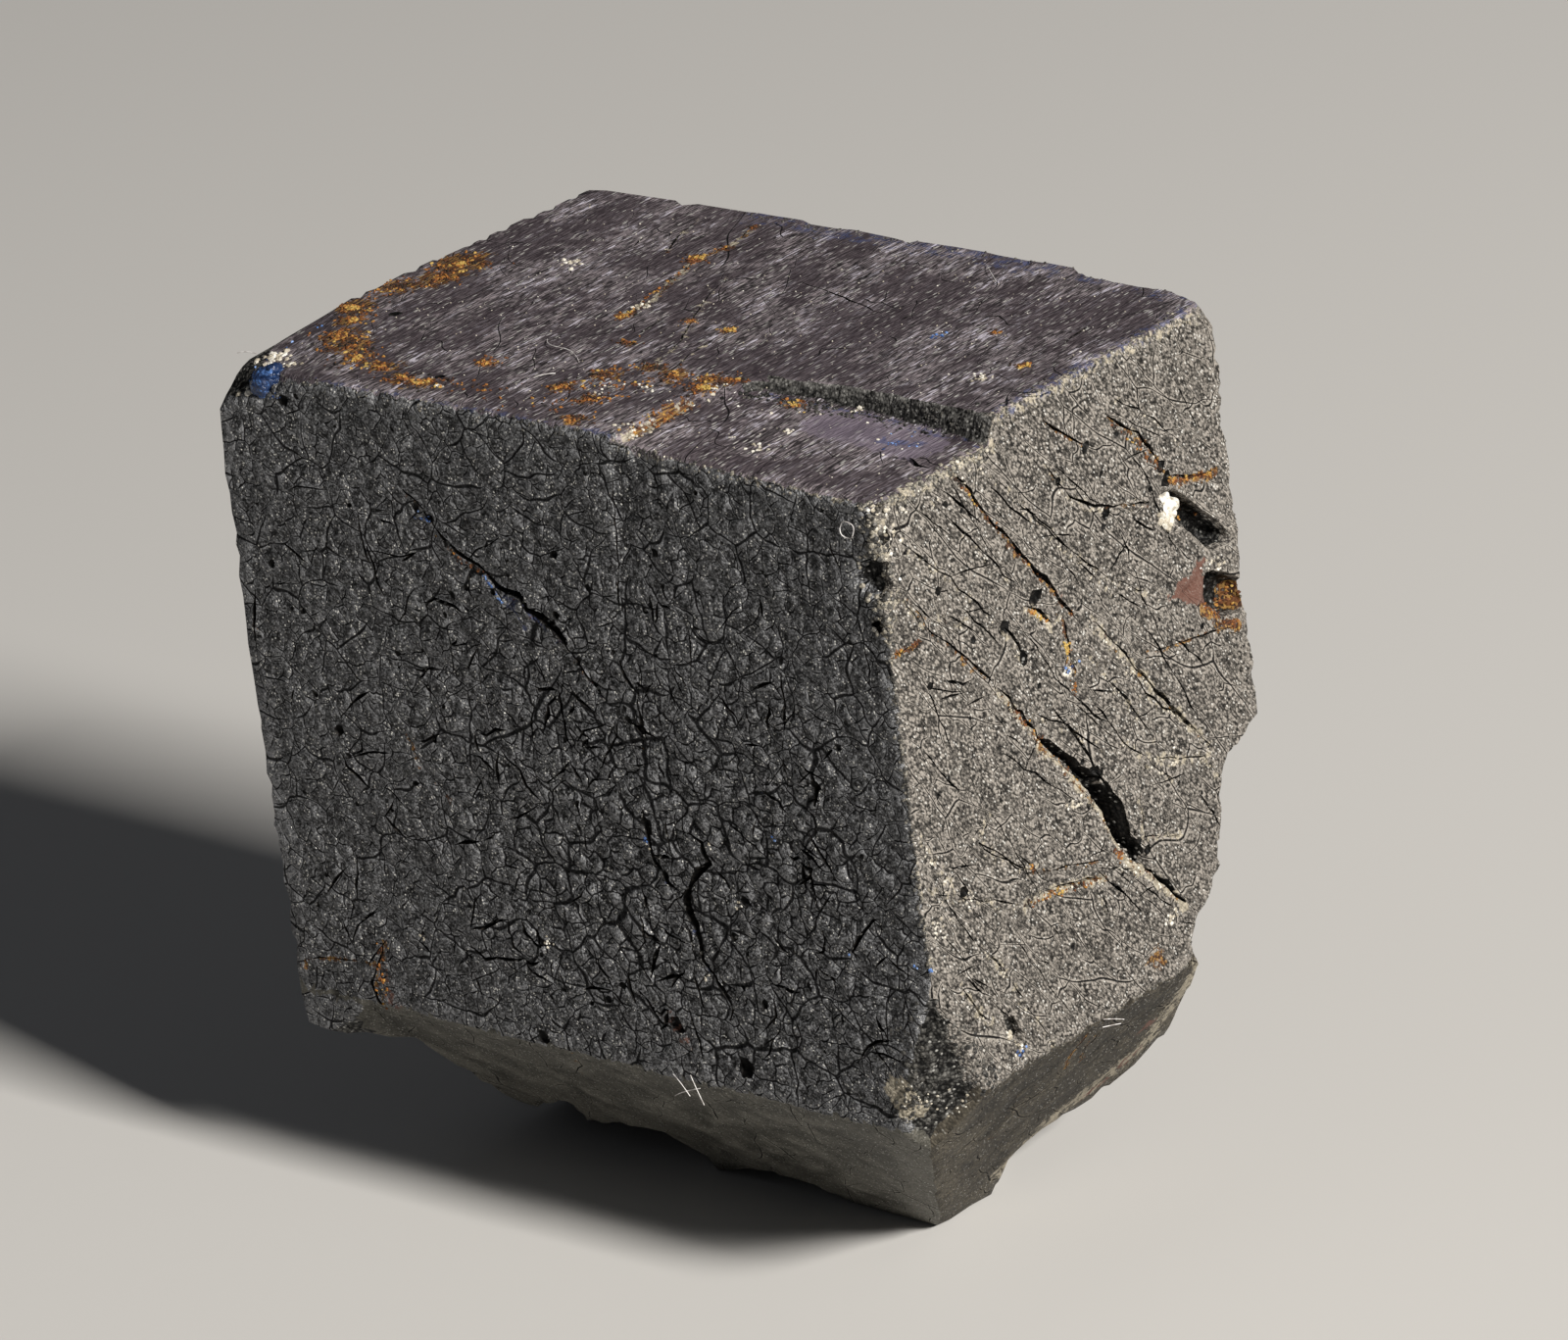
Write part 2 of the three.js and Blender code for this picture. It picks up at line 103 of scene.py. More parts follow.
LEFT, RIGHT, BACK, FRONT = Vector((-1, 0, 0)), Vector((1, 0, 0)), Vector((0, 1, 0)), Vector((0, -1, 0))
UP, DOWN = Vector((0, 0, 1)), Vector((0, 0, -1))

# Each face has an origin, two directions to measure along, and the way it looks.
FACES = {
    "front": (at(0, 0, 0), LEFT, DOWN, FRONT),
    "right": (at(0, 0, 0), BACK, DOWN, RIGHT),
    "top": (at(0, 0, 0), LEFT, BACK, UP),
    "terrace": (at(0, 0, TERRACE_DROP), LEFT, BACK, UP),
    "front bevel": (at(0, 0, FRONT_BEVEL_DROP), LEFT, FRONT_BEVEL_OUT.cross(LEFT), FRONT_BEVEL_OUT),
    "right bevel": (at(0, 0, RIGHT_BEVEL_DROP), BACK, BACK.cross(RIGHT_BEVEL_OUT), RIGHT_BEVEL_OUT),
    "back": (at(0, DEPTH, 0), LEFT, DOWN, BACK),
    "left": (at(WIDTH, 0, 0), BACK, DOWN, LEFT),
}


def on_face(face, across, along, out=0.0):
    origin, first, second, outward = FACES[face]
    return origin + first * across + second * along + outward * out


def face_matrix(face):
    origin, first, second, outward = FACES[face]
    return Matrix.Translation(origin) @ Matrix((first, second, outward)).transposed().to_4x4()


def smooth_step(values, low, high):
    t = np.clip((values - low) / (high - low), 0, 1)
    return t * t * (3 - 2 * t)


def read_out(items, name, width=3, kind=np.float32):
    """One value of each of a mesh's points, edges or polygons, as rows of numbers."""
    flat = np.empty(len(items) * width, kind)
    items.foreach_get(name, flat)
    return flat.reshape(-1, width)


def points_of(piece):
    return read_out(piece.data.vertices, "co")


def pick(*pieces):
    bpy.ops.object.select_all(action="DESELECT")
    for piece in pieces:
        piece.select_set(True)
    bpy.context.view_layer.objects.active = pieces[0]


def finish_with(piece, kind, **settings):
    """Adds a modifier with these settings and applies it."""
    modifier = piece.modifiers.new(kind.title(), kind)
    for setting, value in settings.items():
        setattr(modifier, setting, value)
    pick(piece)
    bpy.ops.object.modifier_apply(modifier=modifier.name)


def weigh(piece, name, amounts, steps=12):
    """A vertex group that holds an amount from 0 to 1 for each point, in a few steps."""
    group = piece.vertex_groups.new(name=name)
    levels = np.round(np.clip(amounts, 0, 1) * steps).astype(int)
    for step in range(1, steps + 1):
        members = np.flatnonzero(levels == step).tolist()
        if members:
            group.add(members, step / steps, "REPLACE")
    return name


def raise_relief(piece, pattern, feature, height, where="", middle=0.5, stretch=None, **details):
    """Moves the skin in and out by a noise pattern whose features have this size in millimetres."""
    texture = bpy.data.textures.new("relief", pattern)
    texture.noise_scale = feature
    for detail, value in details.items():
        setattr(texture, detail, value)
    coordinates = {}
    if stretch:
        guide = bpy.data.objects.new("relief guide", None)
        guide.matrix_world = stretch
        bpy.context.scene.collection.objects.link(guide)
        bpy.context.view_layer.update()
        coordinates = {"texture_coords": "OBJECT", "texture_coords_object": guide}
    finish_with(piece, "DISPLACE", texture=texture, strength=height, mid_level=middle,
                vertex_group=where, **coordinates)
    if stretch:
        bpy.data.objects.remove(guide)
    bpy.data.textures.remove(texture)


def copy_of_node(name, node, voxel):
    """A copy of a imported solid, in millimetres, with an even mesh of this fineness."""
    piece = bpy.data.objects.new(name, frame["nodes"][node].data.copy())
    bpy.context.scene.collection.objects.link(piece)
    piece.data.transform(Matrix.Scale(1 / MM, 4))
    pick(piece)
    bpy.ops.object.mode_set(mode="EDIT")
    bpy.ops.mesh.select_all(action="SELECT")
    bpy.ops.mesh.remove_doubles(threshold=0.001)
    bpy.ops.object.mode_set(mode="OBJECT")
    piece.data.materials.clear()
    finish_with(piece, "REMESH", mode="VOXEL", voxel_size=voxel, use_smooth_shade=True)
    return piece


def from_corner(points):
    """How far points lie to the left, to the back and down from the top front right corner."""
    return WIDTH / 2 - points[:, 0], points[:, 1] + DEPTH / 2, HEIGHT - points[:, 2]


def face_depths(points):
    """How far each point lies under each main face, in millimetres, face by face."""
    left, back, down = from_corner(points)
    on_terrace = (left < TERRACE_WIDTH) & (back < TERRACE_DEPTH)
    terrace = down - (TERRACE_DROP - TERRACE_TILT * left)
    depths = {"front": back, "right": left}
    depths["top"] = np.where(on_terrace, terrace, down)
    for bevel in ("front bevel", "right bevel"):
        origin, _, _, outward = FACES[bevel]
        depths[bevel] = (np.array(origin) - points) @ np.array(outward)
    return depths


crystal = copy_of_node("crystal_stone", "magnetite_crystal", VOXEL)
CHIP_START = 9.9


def chipped_corner(points):
    """How much each point belongs to the dark broken patch at the foot of the front right edge."""
    left, back, down = from_corner(points)
    reach = 0.36 * np.clip(down - CHIP_START, 0, None) * (1 - smooth_step(down, 12.9, 14.1))
    return smooth_step(1.15 * reach - left, 0, 0.2) * smooth_step(reach - back, 0, 0.2)


# Where the skin is finer or coarser. The front face is wrinkled most below its middle, and the
# foot keeps its flat resting face.
SKIN_BAND = 0.2
points = points_of(crystal)
depths = face_depths(points)
on_skin_of = {face: (np.abs(depths[face]) < SKIN_BAND) * 1.0 for face in ("front", "right", "top")}
left_of, _, down_of = from_corner(points)
nearest = np.min(np.abs(np.array(list(depths.values()))), axis=0)
clear_of_foot = smooth_step(points[:, 2], 0.1, 0.6)
chipped = 0.8 * chipped_corner(points)
broken = weigh(crystal, "broken", np.maximum(smooth_step(nearest, 0.15, 0.5), chipped) * clear_of_foot)
all_skin = weigh(crystal, "skin", clear_of_foot)
lower_middle = np.exp(-(((left_of - 6.5) / 5.5) ** 2 + ((down_of - 8.4) / 3.8) ** 2))
front_skin = on_skin_of["front"] * smooth_step(left_of, 0.05, 0.3)
wrinkled = weigh(crystal, "wrinkled", front_skin * (0.3 + 0.7 * lower_middle))
below_step = front_skin * (1 - smooth_step(left_of, 6.0, 6.6)) * (1 - smooth_step(down_of, 3.5, 6.0))
streaky = weigh(crystal, "streaky", below_step)
right_face = weigh(crystal, "right", on_skin_of["right"])
top_face = weigh(crystal, "top", on_skin_of["top"])
rough_sides = weigh(crystal, "rough", (np.abs(depths["top"]) > 0.25) * clear_of_foot)

# The grain of each face runs its own way.
RIGHT_TURN = math.radians(-53)
TOP_TURN = math.radians(92)
FRONT_GRAIN = Matrix.Rotation(math.radians(-35), 4, "Y") @ Matrix.Diagonal((3, 1, 1, 1))
FRONT_STREAKS = Matrix.Diagonal((1, 1, 4, 1))
RIGHT_GRAIN = Matrix.Rotation(RIGHT_TURN, 4, "X") @ Matrix.Diagonal((1, 4, 1, 1))
TOP_GRAIN = Matrix.Rotation(TOP_TURN, 4, "Z") @ Matrix.Diagonal((5, 1, 1, 1))
VALLEYS = {"weight_1": -1.0, "weight_2": 1.0, "noise_intensity": 3.5}
raise_relief(crystal, "CLOUDS", 2.6, 0.10, all_skin)
raise_relief(crystal, "CLOUDS", 0.6, 0.07, rough_sides, noise_depth=2)
raise_relief(crystal, "CLOUDS", 0.24, 0.05, rough_sides, noise_type="HARD_NOISE")
raise_relief(crystal, "VORONOI", 0.55, 0.08, wrinkled, **VALLEYS)
raise_relief(crystal, "VORONOI", 0.3, 0.06, wrinkled, stretch=FRONT_GRAIN, **VALLEYS)
raise_relief(crystal, "CLOUDS", 0.2, 0.07, streaky, stretch=FRONT_STREAKS)
raise_relief(crystal, "CLOUDS", 0.2, 0.03, right_face, stretch=RIGHT_GRAIN)
raise_relief(crystal, "VORONOI", 0.6, 0.03, right_face, **VALLEYS)
raise_relief(crystal, "CLOUDS", 0.22, 0.035, top_face, stretch=TOP_GRAIN, noise_depth=2)
raise_relief(crystal, "VORONOI", 0.8, 0.28, broken, distance_metric="CHEBYCHEV")
raise_relief(crystal, "VORONOI", 0.26, 0.14, broken, distance_metric="CHEBYCHEV")
crystal.vertex_groups.clear()

# The sides that face the light keep more of the fine mesh than the underside and the back.
points = points_of(crystal)
depths = face_depths(points)
on_show = np.min([np.abs(depths[face]) for face in ("front", "right", "top")], axis=0) < 0.4
plain_half = (points[:, 1] > DEPTH / 2 - 0.5) | (points[:, 0] < -WIDTH / 2 + 0.4)
thinned = weigh(crystal, "thinned", np.where(on_show & ~plain_half, 0.25, 1.0))
triangles = 2 * len(crystal.data.polygons)
finish_with(crystal, "DECIMATE", ratio=CRYSTAL_TRIANGLES / triangles, vertex_group=thinned)
crystal.vertex_groups.clear()

# The cracks. Each is a route over a face, in millimetres, with its greatest width, where along it that width
# lies, and how much rust, pale grains and blue line it; the blue is tarnish with a painted blue sheen.
cracks = []


def crack(face, width, route, widest=0.5, rust=0.0, pale=0.0, blue_tarnish_and_sheen=0.0):
    cracks.append((face, width, route, widest, rust, pale, blue_tarnish_and_sheen))


crack("front", 0.13, [(12.3, 1.9), (11.82, 2.2), (11.54, 2.47), (11.28, 2.9), (10.86, 3.15), (10.37, 3.28),
      (10.08, 3.54)], widest=0.6, rust=0.6, blue_tarnish_and_sheen=0.3)
crack("front", 0.27, [(10.2, 3.45), (9.79, 3.76), (9.4, 3.76), (8.88, 4.15), (8.54, 4.4), (8.3, 4.62)],
      widest=0.35, rust=0.4, blue_tarnish_and_sheen=0.7)
crack("front", 0.14, [(8.4, 4.5), (8.05, 4.94), (7.84, 5.18), (7.5, 5.6)], rust=0.4, blue_tarnish_and_sheen=0.5)
crack("front", 0.06, [(9.79, 3.76), (9.55, 4.1), (9.31, 4.42)], blue_tarnish_and_sheen=0.7)
crack("front", 0.10, [(6.62, 5.42), (6.63, 5.91), (6.66, 6.41)])
crack("front", 0.05, [(6.66, 6.41), (6.64, 6.73), (5.91, 7.51), (5.79, 8.1)], rust=0.15)
crack("front", 0.22, [(5.79, 8.1), (5.5, 8.33), (5.37, 8.68), (5.87, 9.18), (6.1, 9.56), (5.91, 10.08),
      (5.8, 10.79), (5.5, 11.12), (5.33, 11.66), (5.35, 12.0)], widest=0.6, blue_tarnish_and_sheen=0.35)
crack("front", 0.14, [(6.87, 7.8), (6.8, 8.28), (6.77, 8.9), (6.5, 9.26), (6.09, 9.53)], blue_tarnish_and_sheen=0.3)
crack("front", 0.12, [(5.37, 8.68), (5.05, 8.99), (4.8, 9.27)], widest=0.9, rust=0.3)
crack("front", 0.10, [(2.83, 4.3), (2.84, 4.87), (2.92, 5.48)])
crack("front", 0.05, [(2.92, 5.48), (3.07, 6.19), (3.5, 6.67), (3.86, 6.77)])
crack("front", 0.09, [(3.86, 6.77), (3.4, 6.98), (3.19, 7.22), (2.96, 7.48)], blue_tarnish_and_sheen=0.3)
crack("front", 0.05, [(11.67, 3.18), (12.5, 3.4), (13.46, 3.45)])
crack("front", 0.12, [(16.7, 4.69), (16.82, 5.3), (16.88, 5.9)], rust=0.5)
crack("front", 0.05, [(16.31, 4.63), (15.95, 4.6), (15.61, 4.42)], rust=0.3)
crack("front", 0.10, [(14.57, 12.05), (14.81, 12.64), (15.04, 13.11), (14.7, 13.92)], widest=0.8, rust=0.9)
crack("front", 0.05, [(17.1, 12.98), (16.1, 12.7), (14.86, 12.6)], rust=0.8)
crack("front", 0.10, [(1.13, 9.03), (1.57, 9.36), (1.94, 9.88), (1.65, 10.04)])
crack("front", 0.06, [(13.11, 7.1), (12.63, 8.07), (11.81, 8.66)], rust=0.5)
crack("front", 0.16, [(2.4, 6.23), (2.28, 6.54), (2.39, 6.94)])
crack("front", 0.05, [(8.7, 7.6), (8.5, 8.5), (8.6, 9.4), (8.35, 10.1)])
crack("front", 0.05, [(6.9, 6.3), (6.3, 6.9), (5.8, 7.6), (5.2, 8.0)])
crack("front", 0.05, [(4.9, 6.2), (4.4, 6.9), (4.35, 7.6)])
crack("front", 0.05, [(3.4, 9.9), (2.9, 10.4), (2.6, 11.0)])
crack("front", 0.06, [(4.8, 9.27), (4.3, 8.8), (3.8, 8.5)])
crack("front", 0.05, [(13.8, 9.1), (12.9, 9.6), (12.3, 10.4)])
crack("front", 0.04, [(15.9, 6.2), (15.2, 6.9), (14.9, 7.6)])
crack("front", 0.05, [(10.9, 5.4), (10.2, 6.1), (9.9, 6.9), (9.2, 7.3)])
crack("front", 0.04, [(2.9, 4.9), (2.6, 5.6), (2.75, 6.2)])
crack("front", 0.07, [(6.5, 0.35), (6.56, 1.3), (6.65, 2.4), (6.75, 3.2), (6.87, 4.04)], widest=0.8)

crack("right", 0.12, [(2.32, 0.56), (2.96, 1.43), (3.2, 1.81), (3.72, 2.5), (4.09, 3.06), (4.64, 3.63),
      (5.02, 4.21), (5.47, 4.81)], widest=0.9, rust=0.9)
crack("right", 0.13, [(2.9, 5.2), (3.18, 5.54), (3.63, 6.22), (4.08, 6.84)], widest=0.9, rust=0.8, pale=0.6)
crack("right", 0.27, [(3.95, 6.7), (4.57, 7.28), (5.21, 7.98)], widest=0.7, rust=0.8, pale=0.9)
crack("right", 0.48, [(4.95, 7.7), (5.4, 8.3), (5.67, 8.67), (6.1, 9.55), (6.55, 10.32)],
      widest=0.6, rust=0.8, pale=0.9)
crack("right", 0.18, [(6.45, 10.2), (7.21, 11.04), (7.7, 11.6)], widest=0.3, rust=0.6, pale=0.9)
crack("right", 0.07, [(0.72, 2.55), (1.25, 3.48), (1.85, 4.08), (2.46, 4.69), (2.9, 5.2)],
      widest=0.8, rust=0.7)
crack("right", 0.09, [(6.92, 1.14), (7.78, 1.83), (8.13, 2.22), (8.45, 2.81)], rust=0.8, pale=0.3)
crack("right", 0.08, [(8.58, 2.98), (9.3, 3.2), (10.03, 3.34)], rust=0.9)
crack("right", 0.06, [(5.08, 0.6), (5.6, 1.05), (6.14, 1.46)], rust=0.6)
crack("right", 0.06, [(5.01, 1.48), (5.65, 2.35), (6.24, 2.78), (7.1, 3.05), (7.88, 3.27)],
      rust=0.3, pale=0.4)
crack("right", 0.05, [(4.14, 1.91), (5.2, 3.1), (6.39, 4.24), (7.3, 4.85), (8.19, 5.34)], pale=0.4)
crack("right", 0.08, [(5.88, 4.9), (6.68, 5.98), (7.7, 7.29), (8.75, 8.48)], rust=0.35, pale=0.7)
crack("right", 0.05, [(7.3, 6.15), (8.1, 6.35), (9.1, 6.45), (10.16, 6.68)], rust=0.7)
crack("right", 0.05, [(0.28, 7.25), (0.63, 7.92), (1.19, 8.75)], pale=0.5)
crack("right", 0.05, [(0.31, 8.39), (1.3, 8.95), (2.1, 9.3), (2.93, 9.73)], pale=0.4)
crack("right", 0.06, [(3.2, 9.13), (4.2, 9.45), (5.22, 9.72), (5.53, 9.85)], rust=0.5)
crack("right", 0.07, [(2.93, 9.73), (3.75, 9.74), (4.84, 9.95), (5.39, 10.13)], rust=0.8, pale=0.7)
crack("right", 0.05, [(1.75, 7.79), (2.0, 8.21), (3.05, 9.06)], pale=0.3)
crack("right", 0.05, [(1.66, 10.15), (2.18, 10.8), (2.61, 11.59), (3.05, 12.32), (3.36, 12.9)], pale=0.4)
crack("right", 0.05, [(0.87, 10.58), (1.29, 11.31), (1.64, 11.62)], pale=0.6)
crack("right", 0.15, [(3.3, 4.1), (3.5, 4.4), (3.67, 4.61), (3.76, 4.97)], pale=0.5)
crack("right", 0.14, [(4.02, 3.98), (4.4, 4.22), (4.71, 4.58)], rust=0.8, pale=0.9)
crack("right", 0.10, [(5.0, 4.5), (5.08, 4.82), (5.12, 5.44), (5.2, 5.75)], rust=1.0, blue_tarnish_and_sheen=0.5, pale=0.4)
crack("right", 0.05, [(1.33, 0.55), (2.05, 1.47), (2.8, 2.29), (3.46, 3.14), (3.93, 3.59)], pale=0.2)
crack("right", 0.05, [(0.68, 1.45), (1.4, 2.13), (1.93, 2.63), (2.6, 3.4), (3.09, 4.0), (3.55, 4.49)],
      pale=0.3)
crack("right", 0.05, [(0.5, 2.43), (0.81, 2.94), (1.01, 3.31)], pale=0.5)
crack("right", 0.06, [(0.05, 3.46), (0.53, 3.52), (0.89, 3.48)], rust=0.9)
crack("right", 0.05, [(1.48, 3.19), (1.86, 3.54), (2.25, 3.6)], rust=0.4, pale=0.4)
crack("right", 0.05, [(6.67, 6.22), (7.39, 7.2), (8.39, 8.06), (8.98, 8.79)], pale=0.5)
crack("right", 0.05, [(6.36, 7.69), (6.96, 8.26), (7.89, 9.17)], pale=0.5)
crack("right", 0.05, [(3.84, 6.09), (4.77, 6.74), (5.63, 7.53)], pale=0.3)
crack("right", 0.06, [(2.31, 7.51), (1.86, 7.99), (3.14, 9.08), (3.44, 9.08)], pale=0.4)
crack("right", 0.05, [(5.17, 10.24), (5.42, 10.98)], pale=0.3)
crack("right", 0.04, [(3.56, 10.18), (3.87, 10.55)])
crack("right", 0.05, [(1.51, 10.0), (1.97, 10.52), (2.2, 10.95)], pale=0.4)
crack("right", 0.05, [(6.96, 8.26), (7.73, 8.56), (8.76, 8.92), (9.13, 9.45)], pale=0.6)
crack("right", 0.06, [(6.67, 8.82), (6.7, 9.8), (7.72, 10.17)], rust=0.3, pale=0.5)
crack("right", 0.04, [(3.1, 0.7), (4.0, 1.75), (4.9, 2.7), (5.9, 4.0), (6.6, 4.7)], pale=0.3)
crack("right", 0.04, [(7.2, 0.9), (8.1, 1.5), (9.2, 2.6)], pale=0.2)
crack("right", 0.05, [(5.6, 5.5), (6.4, 6.6), (7.3, 8.0)], pale=0.4)

crack("top", 0.05, [(8.52, 8.19), (7.1, 7.8), (5.76, 7.35)])
crack("top", 0.05, [(10.72, 5.29), (10.77, 6.29), (11.15, 7.29), (11.53, 8.49), (11.36, 9.17),
      (11.67, 10.42)],
      rust=0.7, pale=0.5)
crack("top", 0.05, [(12.36, 8.48), (12.8, 9.4), (13.11, 10.32)], rust=0.35, pale=0.3)
crack("top", 0.04, [(8.13, 3.26), (8.6, 4.6), (9.15, 5.55), (9.9, 7.0), (10.2, 7.9)], pale=0.45)
crack("top", 0.04, [(7.6, 3.0), (7.9, 4.1), (8.09, 5.43)], pale=0.3)
crack("terrace", 0.10, [(1.3, 2.05), (0.9, 2.2), (0.3, 2.05)])
crack("terrace", 0.04, [(5.9, 0.9), (4.7, 1.5), (3.8, 2.6)], pale=0.3)

crack("front bevel", 0.05, [(4.2, 0.5), (4.5, 1.5), (4.9, 2.3)], rust=0.2)
crack("front bevel", 0.05, [(9.9, 0.2), (10.1, 0.9), (10.6, 1.4)], rust=0.3)
crack("front bevel", 0.04, [(7.1, 0.6), (7.0, 1.3), (7.4, 2.2)])
crack("right bevel", 0.06, [(4.6, 0.3), (4.5, 0.9), (4.75, 1.6)], rust=0.7)
crack("right bevel", 0.05, [(5.1, 0.5), (5.05, 1.1), (5.3, 1.7)], rust=0.6)
crack("right bevel", 0.04, [(3.2, 1.4), (3.6, 2.4), (3.4, 3.1)], rust=0.2)

# Between them run short fine cracks, which follow the same grain and sometimes fork.
wander = random.Random(4711)


def fine_cracks(face, count, zone, heading, spread, length, width, forks=0.3):
    """Short cracks that start inside the zone and head one way, give or take the spread."""
    across_low, across_high, along_low, along_high = zone
    for _ in range(count):
        starts = [(wander.uniform(across_low, across_high), wander.uniform(along_low, along_high))]
        ways = [math.radians(heading + wander.gauss(0, spread))]
        reach = wander.uniform(0.4, 1.3) * length
        breadth = wander.uniform(0.6, 1.4) * width
        if wander.random() < forks:
            starts.append(starts[0])
            ways.append(ways[0] + wander.choice((-1, 1)) * math.radians(wander.uniform(50, 80)))
        for (across, along), way in zip(starts, ways):
            route = [(across, along)]
            for _ in range(3):
                way += wander.gauss(0, 0.005 * spread)
                across += reach / 3 * math.cos(way)
                along += reach / 3 * math.sin(way)
                route.append((across, along))
            crack(face, breadth, route)
            reach *= 0.6


fine_cracks("front", 70, (2.5, 11.5, 4.6, 12.2), 90, 60, 1.3, 0.09, 0.5)
fine_cracks("front", 45, (9.0, 16.4, 2.5, 12.6), 100, 60, 1.1, 0.07, 0.4)
fine_cracks("front", 30, (0.6, 8.0, 1.2, 6.0), 85, 30, 0.9, 0.06, 0.2)
fine_cracks("front", 30, (0.6, 4.0, 6.0, 12.0), 75, 50, 1.0, 0.07)
fine_cracks("right", 50, (0.4, 9.0, 0.6, 10.8), 53, 7, 2.6, 0.045, 0.1)
fine_cracks("right", 30, (0.6, 8.0, 2.0, 12.0), 8, 18, 1.1, 0.045, 0.2)
fine_cracks("top", 14, (1.0, 15.0, 4.2, 10.0), 88, 12, 0.9, 0.05, 0.1)
fine_cracks("back", 24, (1.5, 15.5, 1.5, 12.5), 90, 60, 1.4, 0.09)
fine_cracks("left", 16, (1.2, 9.5, 2.0, 13.0), 80, 50, 1.4, 0.09)

# The cracks and pits are cut with tools, all in one cut. A crack's tool is a bar along its route
# that tapers at both ends and is drawn deep, and a pit's tool is one angular grain.
DEEPENED = 3.6
ROUTE_STEP = 0.3
WIDE_CRACK = 0.12
shaded_crack_wall = bpy.data.materials.new("shaded crack wall")
tools = bpy.data.collections.new("crack tools")
bpy.context.scene.collection.children.link(tools)


def angular_grains(count, roughness, stretch=(1, 1, 1)):
    """A few angular grains, a millimetre across, to be copied at their own sizes."""
    shapes = []
    for seed in range(count):
        bpy.ops.mesh.primitive_ico_sphere_add(subdivisions=1, radius=0.5)
        shape = bpy.context.object
        bpy.ops.object.mode_set(mode="EDIT")
        bpy.ops.mesh.select_all(action="SELECT")
        bpy.ops.transform.vertex_random(offset=roughness, seed=seed)
        bpy.ops.object.mode_set(mode="OBJECT")
        shape.data.transform(Matrix.Diagonal((*stretch, 1)))
        shapes.append(shape)
    return shapes


# Pits: small angular holes where grains fell out.
MEASURED_PITS = {
    "front": [(14.92, 7.52, 0.16), (6.84, 8.13, 0.2), (2.31, 6.5, 0.14), (10.42, 13.38, 0.2),
              (6.76, 12.34, 0.22), (5.09, 12.94, 0.24), (14.76, 0.42, 0.1), (13.79, 0.89, 0.1),
              (8.31, 2.75, 0.12), (7.52, 3.3, 0.12), (5.68, 2.3, 0.12), (5.59, 2.99, 0.1),
              (6.96, 5.95, 0.14), (6.61, 6.09, 0.12), (15.1, 0.55, 0.16), (4.5, 9.3, 0.16),
              (11.9, 2.3, 0.16), (11.5, 2.5, 0.16), (11.2, 2.95, 0.13), (3.7, 8.2, 0.14),
              (8.05, 4.9, 0.12), (6.5, 9.1, 0.14), (0.3, 2.1, 0.3), (0.2, 2.9, 0.2)],
    "right": [(1.26, 8.78, 0.16), (0.2, 1.2, 0.2), (0.15, 1.9, 0.22), (3.34, 4.17, 0.2),
              (3.76, 4.9, 0.2), (2.05, 1.2, 0.1), (1.55, 2.75, 0.12), (6.6, 3.0, 0.16),
              (4.3, 3.95, 0.22), (1.0, 4.45, 0.1), (8.35, 2.7, 0.16), (9.75, 9.2, 0.2),
              (6.2, 1.55, 0.14), (5.3, 1.9, 0.1), (8.5, 3.0, 0.2)],
    "top": [(1.2, 2.18, 0.2), (0.8, 2.25, 0.16), (15.3, 3.6, 0.16), (11.9, 1.2, 0.14)],
}
pits = [(face, *pit) for face in MEASURED_PITS for pit in MEASURED_PITS[face]]
for _ in range(110):
    pits.append(("front", wander.uniform(0.8, 16.3), wander.uniform(0.7, 13.2), wander.uniform(0.05, 0.11)))
for _ in range(50):
    pits.append(("right", wander.uniform(0.4, 9.4), wander.uniform(0.8, 12.4), wander.uniform(0.04, 0.09)))
for _ in range(45):
    along = wander.uniform(10.4, 13.3)
    reach = 0.3 * (along - CHIP_START)
    face = wander.choice(("front", "right"))
    across = wander.uniform(0, reach)
    pits.append((face, across, along, wander.uniform(0.05, 0.13)))
for face, width, route, *_ in cracks:
    if width >= WIDE_CRACK:
        for a, b in zip(route, route[1:]):
            for _ in range(5):
                spot = Vector(a).lerp(Vector(b), wander.random())
                aside = wander.gauss(0, 0.42 * width)
                further = wander.gauss(0, 0.2 * width)
                size = wander.uniform(0.12, 0.3) * width
                pits.append((face, spot.x + aside, spot.y + further, size))

pit_shapes = angular_grains(6, 0.18)
for face, across, along, size in pits:
    tool = bpy.data.objects.new("pit tool", wander.choice(pit_shapes).data.copy())
    tool.data.materials.append(shaded_crack_wall)
    turn = Euler([wander.uniform(0, math.tau) for _ in range(3)]).to_matrix().to_4x4()
    shape = Matrix.Diagonal((2 * size, 2 * size * wander.uniform(0.6, 1.2), 2.4 * size, 1))
    tool.matrix_world = Matrix.Translation(on_face(face, across, along, 0.25 * size)) @ turn @ shape
    tools.objects.link(tool)
for shape in pit_shapes:
    bpy.data.objects.remove(shape)


def natural_route(route, width, widest):
    """The same route in short steps that stray a little, each with its half width."""
    corners = [Vector(corner) for corner in route]
    lengths = [(b - a).length for a, b in zip(corners, corners[1:])]
    whole = sum(lengths)
    steps = []
    travelled = 0
    for a, b, length in zip(corners, corners[1:], lengths):
        count = max(1, round(length / ROUTE_STEP))
        for step in range(count):
            share = (travelled + length * step / count) / whole
            steps.append((a.lerp(b, step / count), share))
        travelled += length
    steps.append((corners[-1], 1.0))
    shaped = []
    for index, (point, share) in enumerate(steps):
        inner = 0 < index < len(steps) - 1
        stray = 0.2 * width + 0.02 if inner else 0
        place = point + Vector((wander.gauss(0, stray), wander.gauss(0, stray))) * 0.7
        rise = share / widest if share < widest else (1 - share) / (1 - widest)
        half = 0.68 * width * (0.3 + 0.7 * math.sqrt(max(rise, 0))) * wander.uniform(0.5, 1.35)
        shaped.append((place, half))
    return shaped


